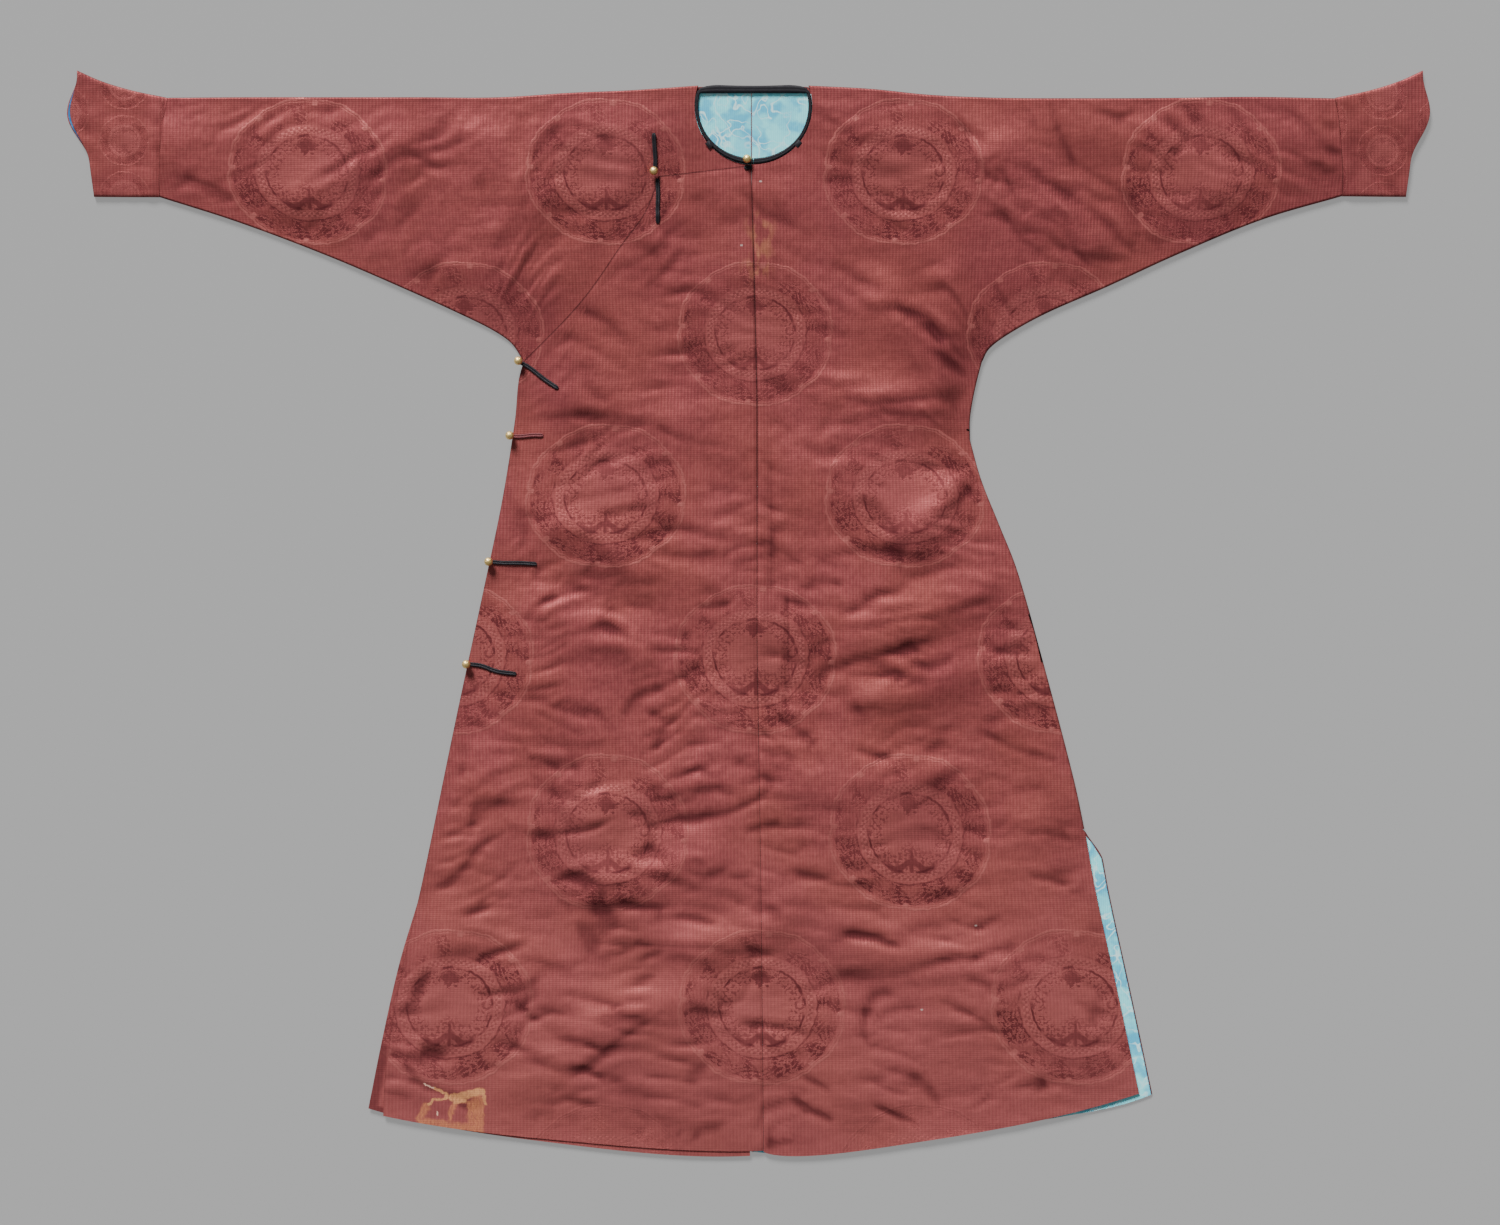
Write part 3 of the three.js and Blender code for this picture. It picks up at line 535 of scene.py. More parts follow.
def relief(x, y):
    """Fullness of the laid cloth above its resting level, and its creases alone."""
    x, y = np.asarray(x, float), np.asarray(y, float)
    inside = edge_distance(x, y)
    broad = np.full(x.shape, FULL)
    for x0, y0, x1, y1, width, height in RIDGES:
        off, _ = distance_along(x, y, [(x0, y0), (x1, y1)])
        broad += height * np.exp(-((off / width) ** 2))
    sleeve = np.sign(x) * ease((np.abs(x) - 250) / 120) * ease((y - 250) / 120)
    cos, sin = np.cos(SLEEVE_TURN * sleeve), np.sin(SLEEVE_TURN * sleeve)
    turned = x * cos - y * sin, x * sin + y * cos
    broad += 1.5 * waves(turned[0] * 0.55, turned[1], 12, 90, 260, SEED + 1)
    fine = np.zeros(x.shape)
    share = bpy.context.scene.robe_sizes.crease
    for width, depth, *line in CREASES:
        add_trough(fine, x, y, width, depth * share, from_grid(line))
    for width, depth, *line in faint_creases():
        add_trough(fine, x, y, width, depth * share, line)
    patchy = ease(0.5 + waves(x, y, 8, 150, 400, SEED + 3))
    fine += 0.42 * patchy * ripples(*turned, 17, 44, SEED + 2)
    lower = 0.62 + 0.38 * ease((260 - y) / 300)
    for short, long, spread, depth, width, seed in CREASE_NETS:
        broken = ease(0.10 + 1.4 * waves(x, y, 9, 70, 190, SEED + seed + 1))
        lines = crease_lines(*turned, short, long, spread, width, SEED + seed)
        wider = crease_lines(*turned, short, long, spread, 2.4 * width, SEED + seed)
        fine += depth * broken * (0.3 * wider - 1.1 * lines) * lower
    calm = np.ones(x.shape)
    for _, bx, by in BUTTONS:
        calm *= 1 - np.exp(-(((x - bx) ** 2 + (y - by) ** 2) / 30**2))
    broad = FULL_AT_BUTTON + (broad - FULL_AT_BUTTON) * calm
    neck = ease((np.hypot(x - NECK_X, y - NECK_Y) - NECK_RADIUS) / 45)
    broad = FULL_AT_NECK + (broad - FULL_AT_NECK) * neck
    fine = fine * ease(inside / CREASED_FROM_EDGE) * calm
    return np.maximum(broad * ease(inside / FULL_FROM_EDGE) + fine, 0), fine


def uncovered(x, y):
    """1 on the open cloth of the right half, 0 where the overlap covers it."""
    line = np.array(OVERLAP_NECK[:-1] + OVERLAP_SIDE)[::-1]
    return ease((y - np.interp(x, line[:, 0], line[:, 1]) - 2) / 90)


def front_height(x, y):
    full, creases = relief(x, y)
    return FRONT_TOP + full, creases


def under_height(x, y):
    full, creases = relief(x, y)
    share = uncovered(x, y)
    return UNDER_TOP + (FRONT_TOP - UNDER_TOP + full) * share, creases * share


def level(z):
    return lambda x, y: (np.full(np.shape(x), float(z)), np.zeros(np.shape(x)))


def weave_place(x, y):
    """Where a point lies on the flat cloth, in metres, a roundel at each crossing."""
    rows = np.array(ROUNDEL_ROWS)
    row = np.interp(-y, -rows[:, 0], np.arange(len(rows)) - 2.0)
    middle = np.interp(-y, -rows[:, 0], rows[:, 1])
    spacing = np.interp(-y, -rows[:, 0], rows[:, 2])
    return np.stack([(x - middle) / spacing * ACROSS, -row * DOWN], axis=-1)


def in_metres(x, y):
    """The weave's place on a piece that is cut flat."""
    return np.stack([x, y], axis=-1) * MM


def close_to_edges(count):
    """Shares across a sheet, closer together beside its two edges."""
    edge = [0, 0.003, 0.008, 0.015]
    return np.array(edge + list(np.linspace(0.025, 0.975, count)) + [1 - e for e in reversed(edge)])


# Distance to a seam in mm: where there is none near, and along a fold
FAR_FROM_EDGE, FOLD_SHADE = 20.0, 1.0


def fainter_low(y):
    """Added to the distance from the centre seam, which shows less below the waist."""
    return 1.2 * ease((230 - y) / 260)


class Sheet:
    """Points of one piece of cloth, what is known at each of them, and its faces."""

    def __init__(self):
        self.points = np.zeros((0, 3))
        self.places = np.zeros((0, 2))
        self.edges = np.zeros(0)
        self.folds = np.zeros(0)
        self.faces = []

    def add(self, points, places, folds=0.0):
        ids = np.arange(len(self.points), len(self.points) + points[..., 0].size)
        self.points = np.vstack([self.points, points.reshape(-1, 3)])
        self.places = np.vstack([self.places, places.reshape(-1, 2)])
        self.edges = np.concatenate([self.edges, np.full(ids.size, FAR_FROM_EDGE)])
        self.folds = np.concatenate([self.folds, np.broadcast_to(folds, points.shape[:-1]).ravel()])
        return ids.reshape(points.shape[:-1])

    def measure_edges(self, ids, lines, faint=0.0):
        """Writes the distance to the nearest of some seams, a fainter one as further."""
        x, y = self.points[ids, 0], self.points[ids, 1]
        for line in lines:
            off, _ = distance_along(x, y, line)
            self.edges[ids] = np.minimum(self.edges[ids], off + faint)

    def join(self, ids, flip):
        a, b, c, d = ids[:-1, :-1], ids[:-1, 1:], ids[1:, 1:], ids[1:, :-1]
        quad = [a, d, c, b] if flip else [a, b, c, d]
        self.faces.append(np.stack(quad, axis=-1).reshape(-1, 4))

    def grid(self, xy, height, place, flip):
        z, folds = height(xy[..., 0], xy[..., 1])
        ids = self.add(np.dstack([xy, z]), place(xy[..., 0], xy[..., 1]), folds)
        self.join(ids, flip)
        return ids


def sag_at(v, lean, power):
    return 1 - np.abs(2 * v**lean - 1) ** power


def sections(start, end, shares, drop, lean, power, inset):
    """Rows of points from one edge to the other, each with its own sag."""
    run = end - start
    length = np.linalg.norm(run, axis=1)[:, None]
    v = inset[:, :1] / length + shares[None] * (1 - (inset[:, :1] + inset[:, 1:]) / length)
    sag = drop[:, None] * sag_at(v, lean[:, None], power[:, None])
    x = start[:, :1] + run[:, :1] * v + run[:, 1:] / length * sag
    y = start[:, 1:] + run[:, 1:] * v - run[:, :1] / length * sag
    return np.dstack([x, y])


def over_fold(front, back, outward, bulge, steps=5):
    """Half round that carries the cloth over a fold, from front to back."""
    angle = np.pi * np.arange(1, steps + 1) / (steps + 1)
    share = (1 - np.cos(angle)) / 2
    middle = front[:, None] * (1 - share)[None, :, None] + back[:, None] * share[None, :, None]
    out = np.column_stack([outward, np.zeros(len(outward))])
    return middle + out[:, None] * (bulge * np.sin(angle))[None, :, None]


def half_stations(side, counts):
    """Edge and side points of every section of one half, with its sag and folds."""
    left = side == "left"
    sign = 1 if left else -1
    sleeve, armpit, skirt = HALF[side]
    n_sleeve, n_neck, n_skirt = counts
    t = np.concatenate([[0, 0.0015, 0.004, 0.008], np.linspace(0.014, 1, n_sleeve - 3)])
    rows = run_through(sleeve, t)
    edge, to = rows[:, :2], rows[:, 2:]
    back_edge, back_to = edge.copy(), to.copy()
    bow = -sign * CUFF_SEAM_BOW * (1 - ease(t * 4))
    fold = np.ones((len(t), 2), bool)

    shoulder = edge[-1]
    t = np.arange(1, n_neck + 1) / n_neck
    start = math.atan2(shoulder[1] - NECK_Y, shoulder[0] - NECK_X)
    end_x = float(seam_x(596)) + SEAM_GAP if left else 0
    sweep = math.acos((end_x - NECK_X) / NECK_RADIUS)
    end = -sweep if left else 2 * math.pi - sweep
    angle = start + (end - start) * t
    first = math.hypot(shoulder[0] - NECK_X, shoulder[1] - NECK_Y)
    radius = first + (NECK_RADIUS - first) * ease(t * 4)
    neck = np.column_stack([NECK_X + radius * np.cos(angle), NECK_Y + radius * np.sin(angle)])
    back_x = BACK_SEAM_X + sign * SEAM_GAP / 2
    neck_back = np.column_stack(
        [shoulder[0] + (back_x - shoulder[0]) * t, np.full(n_neck, NECK_TOP - BACK_DROP)]
    )
    neck_to = run_through(armpit, t)
    edge, to = np.vstack([edge, neck]), np.vstack([to, neck_to])
    back_edge, back_to = np.vstack([back_edge, neck_back]), np.vstack([back_to, neck_to])
    bow = np.concatenate([bow, np.zeros(n_neck)])
    fold = np.vstack([fold, np.column_stack([np.zeros(n_neck, bool), np.ones(n_neck, bool)])])

    t = np.concatenate([np.linspace(1 / n_skirt, 0.991, n_skirt - 4), [0.994, 0.997, 0.999, 1]])
    rows = run_through(skirt, t)
    top, low = skirt[0][0], skirt[-1][0]
    down = (top - rows[:, 0]) / (top - low)
    centre = seam_x(rows[:, 0]) + SEAM_GAP if left else np.zeros(len(t))
    skirt_edge = np.column_stack([centre, rows[:, 0]])
    back_y = NECK_TOP - BACK_DROP + (low + BACK_HEM[side] - NECK_TOP + BACK_DROP) * down
    skirt_back = np.column_stack([np.full(len(t), back_x), back_y])
    opened = ease((VENT_Y + 6 - rows[:, 2]) / 44)
    skirt_to = rows[:, 1:]
    out = np.column_stack([sign * BACK_OUT[side] * opened, (-1.5 if left else 4) * opened])
    hem = ease((down - 0.75) * 4)
    edge, to = np.vstack([edge, skirt_edge]), np.vstack([to, skirt_to])
    back_edge, back_to = np.vstack([back_edge, skirt_back]), np.vstack([back_to, skirt_to + out])
    bow = np.concatenate([bow, np.zeros(len(t))])
    hem = np.concatenate([np.zeros(len(bow) - len(t)), hem])
    fold = np.vstack([fold, np.column_stack([np.zeros(len(t), bool), rows[:, 2] > VENT_Y])])
    return {
        "edge": edge,
        "to": to,
        "back_edge": back_edge,
        "back_to": back_to,
        "bow": bow,
        "hem": hem,
        "fold": fold,
        "sign": sign,
    }


def station_rows(stations, shares, hem, start, end, inset):
    """Sections of one layer, bowed at the cuff seam and sagging at the hem."""
    drop, lean, power = HEM[hem]
    bowed = stations["bow"] != 0
    drop = np.where(bowed, stations["bow"], stations["sign"] * drop * stations["hem"])
    lean = np.where(bowed, 1.0, lean)
    power = np.where(bowed, 3.0, power)
    return sections(stations[start], stations[end], shares, drop, lean, power, inset)


def rolled(height, line, depth, width):
    """Lowers a height beside a line, where the cloth rolls into a seam."""

    def lowered(x, y):
        off, _ = distance_along(x, y, line)
        z, folds = height(x, y)
        return z - depth * np.exp(-((off / width) ** 2)), folds

    return lowered


def body_sheet(side, counts, across, height):
    """Front, back and sleeve in one, folded at the shoulder."""
    left = side == "left"
    stations = half_stations(side, counts)
    sheet = Sheet()
    bulge = FOLD_BULGE[side]
    inset = stations["fold"] * bulge
    shares = close_to_edges(across)
    front = station_rows(stations, shares, side, "edge", "to", inset)
    back = station_rows(stations, np.linspace(0, 1, 9), "back", "back_edge", "back_to", inset)
    front_ids = sheet.grid(front, height, weave_place, left)
    back_ids = sheet.grid(back, level(0), weave_place, not left)
    skirt = counts[0] + counts[1] + 1
    sheet.measure_edges(front_ids, [front[0]], 1.0)
    if left:
        sheet.measure_edges(front_ids, [front[skirt:, 0][::3]], fainter_low(front[..., 1]))
        sheet.measure_edges(back_ids, [back[~stations["fold"][:, 1], -1]])
    run = stations["to"] - stations["edge"]
    outward = run / np.linalg.norm(run, axis=1)[:, None]
    for column, toward, flip in [(0, -1, not left), (-1, 1, left)]:
        keep = stations["fold"][:, 0 if column == 0 else 1]
        f, b = front_ids[keep, column], back_ids[keep, column]
        middle = over_fold(sheet.points[f], sheet.points[b], outward[keep] * toward, bulge)
        ids = sheet.add(middle, np.repeat(sheet.places[f][:, None], middle.shape[1], axis=1))
        sheet.edges[ids] = FOLD_SHADE
        sheet.join(np.column_stack([f, ids, b]), flip)
    return sheet


def overlap_sheet(height):
    """The outer flap, blended between its top edge, hem, centre and side."""
    u = np.unique(np.concatenate([close_to_edges(92), [CORNER_SHARE]]))
    v = close_to_edges(270)
    near = run_through(OVERLAP_NECK, u[u < CORNER_SHARE] / CORNER_SHARE)
    far = run_through(OVERLAP_SIDE, (u[u >= CORNER_SHARE] - CORNER_SHARE) / (1 - CORNER_SHARE))
    top = np.vstack([near, far])
    side = run_through(FLAP_SIDE, v)
    y = OVERLAP_NECK[0][1] + (-717.5 - OVERLAP_NECK[0][1]) * v
    centre = np.column_stack([seam_x(y), y])
    drop, lean, power = HEM["flap"]
    hem = centre[-1] + (side[-1] - centre[-1]) * u[:, None]
    hem[:, 1] -= drop * sag_at(u, lean, power)
    u, v = u[None, :, None], v[:, None, None]
    xy = top[None] * (1 - v) + hem[None] * v + centre[:, None] * (1 - u) + side[:, None] * u
    corner = lambda a, b: top[a] * (1 - b) + hem[a] * b
    xy -= corner(0, v) * (1 - u) + corner(-1, v) * u
    sheet = Sheet()
    ids = sheet.grid(xy, height, weave_place, False)
    # The top edge counts as nearer, so a darker line runs there: painted shadow along the overlap
    sheet.measure_edges(ids, [xy[0]], -0.8)
    sheet.measure_edges(ids, [xy[::3, 0]], fainter_low(xy[..., 1]))
    sheet.measure_edges(ids, [xy[::3, -1]], 0.8)
    return sheet


def cuff_grid(sign, seam_top, seam_low, bulge, inset, t, shares):
    top = run_through(CUFF_TOP, t)
    fade = 1 - t
    top_x = sign * top[:, 0] + fade * (seam_top - sign * CUFF_TOP[0][0])
    low_x = seam_low[0] + (sign * CUFF_END_LOW[0] - seam_low[0]) * t
    low_y = seam_low[1] + (CUFF_END_LOW[1] - seam_low[1]) * t
    v = inset + (1 - 2 * inset) * shares[None]
    hoof = np.where(v < CUFF_REACH, bulge * np.sin(np.pi * v / CUFF_REACH) ** 2, 0)
    out = t[:, None] * hoof + fade[:, None] * CUFF_SEAM_BOW * (1 - np.abs(2 * v - 1) ** 3)
    x = top_x[:, None] * (1 - v) + low_x[:, None] * v + sign * out
    y = top[:, 1:] * (1 - v) + low_y[:, None] * v
    return np.dstack([x, y])


def cuff_sheet(side, first_round):
    sign = 1 if side == "left" else -1
    row = HALF[side][0][0]
    seam_top, seam_low = row[0] + sign * SEAM_GAP, (row[2] + sign * SEAM_GAP, row[3])
    bow = sign * CUFF_SEAM_BOW * 0.7
    seam = [(seam_top + bow, row[1]), (seam_low[0] + bow, row[3])]

    def place(x, y):
        return np.stack([x - first_round[0], y - first_round[1]], axis=-1) * MM

    def gathers(x, y):
        return 0.5 * waves(x, y, 10, 22, 70, SEED + sign)

    def height(x, y):
        inside = edge_distance(np.abs(x) * 0.85 * sign, y)
        off, _ = distance_along(x, y, seam)
        full = (0.6 + gathers(x, y)) * ease(inside / 40)
        full += 0.9 * np.exp(-((off - 9) / 7) ** 2) - 0.4 * np.exp(-((off / 3) ** 2))
        return FRONT_TOP + np.maximum(full, -0.8), gathers(x, y)

    inset = CUFF_FOLD / CUFF_HEIGHT
    t, shares = close_to_edges(22), np.linspace(0, 1, 34)
    sheet = Sheet()
    front = cuff_grid(sign, seam_top, seam_low, CUFF_BULGE["front"], inset, t, shares)
    back = cuff_grid(sign, seam_top, seam_low, CUFF_BULGE[side], inset, t, shares)
    front_ids = sheet.grid(front, height, place, sign < 0)
    back_ids = sheet.grid(back, level(0), place, sign > 0)
    sheet.measure_edges(front_ids, [front[0]], 1.5)
    sheet.measure_edges(front_ids, [front[-1]], 0.8)
    for column, toward, flip in [(0, 1, sign > 0), (-1, -1, sign < 0)]:
        f, b = front_ids[:, column], back_ids[:, column]
        outward = np.tile([0.0, toward], (len(f), 1))
        middle = over_fold(sheet.points[f], sheet.points[b], outward, CUFF_FOLD)
        ids = sheet.add(middle, np.repeat(sheet.places[f][:, None], middle.shape[1], axis=1))
        sheet.join(np.column_stack([f, ids, b]), flip)
    return sheet


def cuff_lining_sheet():
    """Lining edge that shows beyond the front of the right cuff."""
    row = RIGHT_SLEEVE[0]
    low = row[2] - SEAM_GAP - 6, row[3]
    t, shares = close_to_edges(10), np.linspace(0, 1, 30)
    xy = cuff_grid(-1, row[0] - SEAM_GAP - 6, low, CUFF_BULGE["right"] - 1, 0.06, t, shares)
    xy[..., 0] += 0.8
    sheet = Sheet()
    sheet.grid(xy, level(LINING_TOP), in_metres, True)
    return sheet


def lining_sheet(side):
    """Back lining of one half, from its centre seam to its side, hem to neck."""
    left = side == "left"
    stations = half_stations(side, (60, 20, 60))
    begin = 45
    part = {k: (v[begin:] if isinstance(v, np.ndarray) else v) for k, v in stations.items()}
    inset = np.where(part["fold"], 7.0, (1.0, 1.4))
    xy = station_rows(part, close_to_edges(26), "back", "back_edge", "back_to", inset)
    xy[-1] += (xy[-2] - xy[-1]) * 0.5
    under_band = np.exp(-(((NECK_TOP - xy[..., 1]) / 30) ** 2))
    under_band *= ease((92 - np.abs(xy[..., 0] - NECK_X)) / 15)
    xy[..., 1] -= 6 * under_band
    seam = [(BACK_SEAM_X, 720), (BACK_SEAM_X, -720)]

    def soft(x, y):
        swell = waves(x, y * 0.5, 10, 24, 90, SEED + 5)
        return LINING_TOP + 0.14 * swell, swell

    height = rolled(soft, seam, 0.35, 2.5)
    sheet = Sheet()
    ids = sheet.grid(xy, height, in_metres, left)
    sheet.measure_edges(ids, [xy[:, -1]])
    return sheet


# ---------------------------------------------------------------- pieces


def only(obj):
    bpy.ops.object.select_all(action="DESELECT")
    obj.select_set(True)
    bpy.context.view_layer.objects.active = obj


def make_object(name, points, faces, places=None, **values):
    """A new object from points in millimetres, with a value per point where given."""
    mesh = bpy.data.meshes.new(name)
    mesh.from_pydata(((points + MIDDLE) * MM).tolist(), [], faces)
    mesh.validate()
    if places is not None:
        layer = mesh.uv_layers.new(name="weave")
        corners = np.zeros(len(mesh.loops), dtype=np.int32)
        mesh.loops.foreach_get("vertex_index", corners)
        layer.data.foreach_set("uv", places[corners].astype(np.float32).ravel())
    for label, numbers in values.items():
        attribute = mesh.attributes.new(label, "FLOAT", "POINT")
        attribute.data.foreach_set("value", numbers.astype(np.float32))
    obj = bpy.data.objects.new(name, mesh)
    bpy.context.scene.collection.objects.link(obj)
    return obj


def give_wall(obj, wall):
    only(obj)
    bpy.ops.object.modifier_add(type="SOLIDIFY")
    solidify = obj.modifiers[-1]
    solidify.thickness = wall
    solidify.offset = -1
    bpy.ops.object.modifier_apply(modifier=solidify.name)


def finish_piece(obj, slot, material, *nodes):
    only(obj)
    bpy.ops.object.shade_smooth_by_angle(angle=math.radians(55))
    obj.data.materials.clear()
    obj.data.materials.append(material)
    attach(obj, "root")
    if nodes:
        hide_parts(*nodes)


def sew(name, sheet, wall, slot, material, node, flat, area, rests_on=()):
    """Makes one piece of cloth with its wall."""
    faces = np.vstack(sheet.faces).tolist()
    obj = make_object(name, sheet.points, faces, sheet.places, edge=sheet.edges, fold=sheet.folds)
    give_wall(obj, wall)
    finish_piece(obj, slot, material, node)
    return obj


# ---------------------------------------------------------------- materials


class Graph:
    """Short calls for making and linking shader nodes."""

    def __init__(self, tree):
        self.tree = tree

    def node(self, kind, settings=None, **inputs):
        made = self.tree.nodes.new(kind)
        for key, value in (settings or {}).items():
            setattr(made, key, value)
        for key, value in inputs.items():
            self.put(made.inputs[key.replace("_", " ")], value)
        return made

    def put(self, socket, value):
        if isinstance(value, bpy.types.NodeSocket):
            self.tree.links.new(value, socket)
        elif value is not None:
            socket.default_value = value

    def math(self, operation, *values):
        made = self.tree.nodes.new("ShaderNodeMath")
        made.operation = operation
        for socket, value in zip(made.inputs, values):
            self.put(socket, value)
        return made.outputs[0]

    def times(self, a, b):
        return self.math("MULTIPLY", a, b)

    def plus(self, a, b):
        return self.math("ADD", a, b)

    def minus(self, a, b):
        return self.math("SUBTRACT", a, b)

    def vector(self, operation, *values, scale=None):
        made = self.tree.nodes.new("ShaderNodeVectorMath")
        made.operation = operation
        for socket, value in zip(made.inputs, values):
            self.put(socket, value)
        if scale is not None:
            self.put(made.inputs["Scale"], scale)
        return made.outputs["Value" if operation in ("DOT_PRODUCT", "LENGTH") else "Vector"]

    def step(self, value, low, high, to_low=0.0, to_high=1.0):
        made = self.tree.nodes.new("ShaderNodeMapRange")
        made.interpolation_type = "SMOOTHSTEP"
        for socket, number in zip(made.inputs, (value, low, high, to_low, to_high)):
            self.put(socket, number)
        return made.outputs[0]

    def band(self, value, middle, half, soft):
        """1 within half of the middle, softly 0 outside."""
        off = self.math("ABSOLUTE", self.math("SUBTRACT", value, middle))
        return self.step(off, half, half + soft, 1.0, 0.0)

    def mix(self, factor, a, b, blend="MIX"):
        made = self.tree.nodes.new("ShaderNodeMix")
        made.data_type = "RGBA"
        made.blend_type = blend
        self.put(made.inputs[0], factor)
        self.put(made.inputs[6], a)
        self.put(made.inputs[7], b)
        return made.outputs[2]

    def noise(self, vector, scale, detail=2.0, kind="3D"):
        settings = {"noise_dimensions": kind}
        made = self.node("ShaderNodeTexNoise", settings, Vector=vector, Scale=scale, Detail=detail)
        return made.outputs[0]

    def tint(self, colour, mask, share, other):
        """Another colour laid over this one, by a share of a mask."""
        return self.mix(self.math("MULTIPLY", mask, share), colour, other)

    def place(self):
        return self.node("ShaderNodeTexCoord").outputs["Object"]

    def weave(self):
        return self.node("ShaderNodeUVMap", {"uv_map": "weave"}).outputs[0]

    def attribute(self, name):
        return self.node("ShaderNodeAttribute", {"attribute_name": name}).outputs["Fac"]


def new_group(name, inputs, outputs):
    """An effect as a node group: (kind, name, default) in, (kind, name) out."""
    tree = bpy.data.node_groups.new(name, "ShaderNodeTree")
    for kind, label, default in inputs:
        socket = tree.interface.new_socket(label, in_out="INPUT", socket_type=kind)
        if default is not None:
            socket.default_value = default
    for kind, label in outputs:
        tree.interface.new_socket(label, in_out="OUTPUT", socket_type=kind)
    graph = Graph(tree)
    return graph, tree.nodes.new("NodeGroupInput").outputs, tree.nodes.new("NodeGroupOutput").inputs


FLOAT, VECTOR = "NodeSocketFloat", "NodeSocketVector"


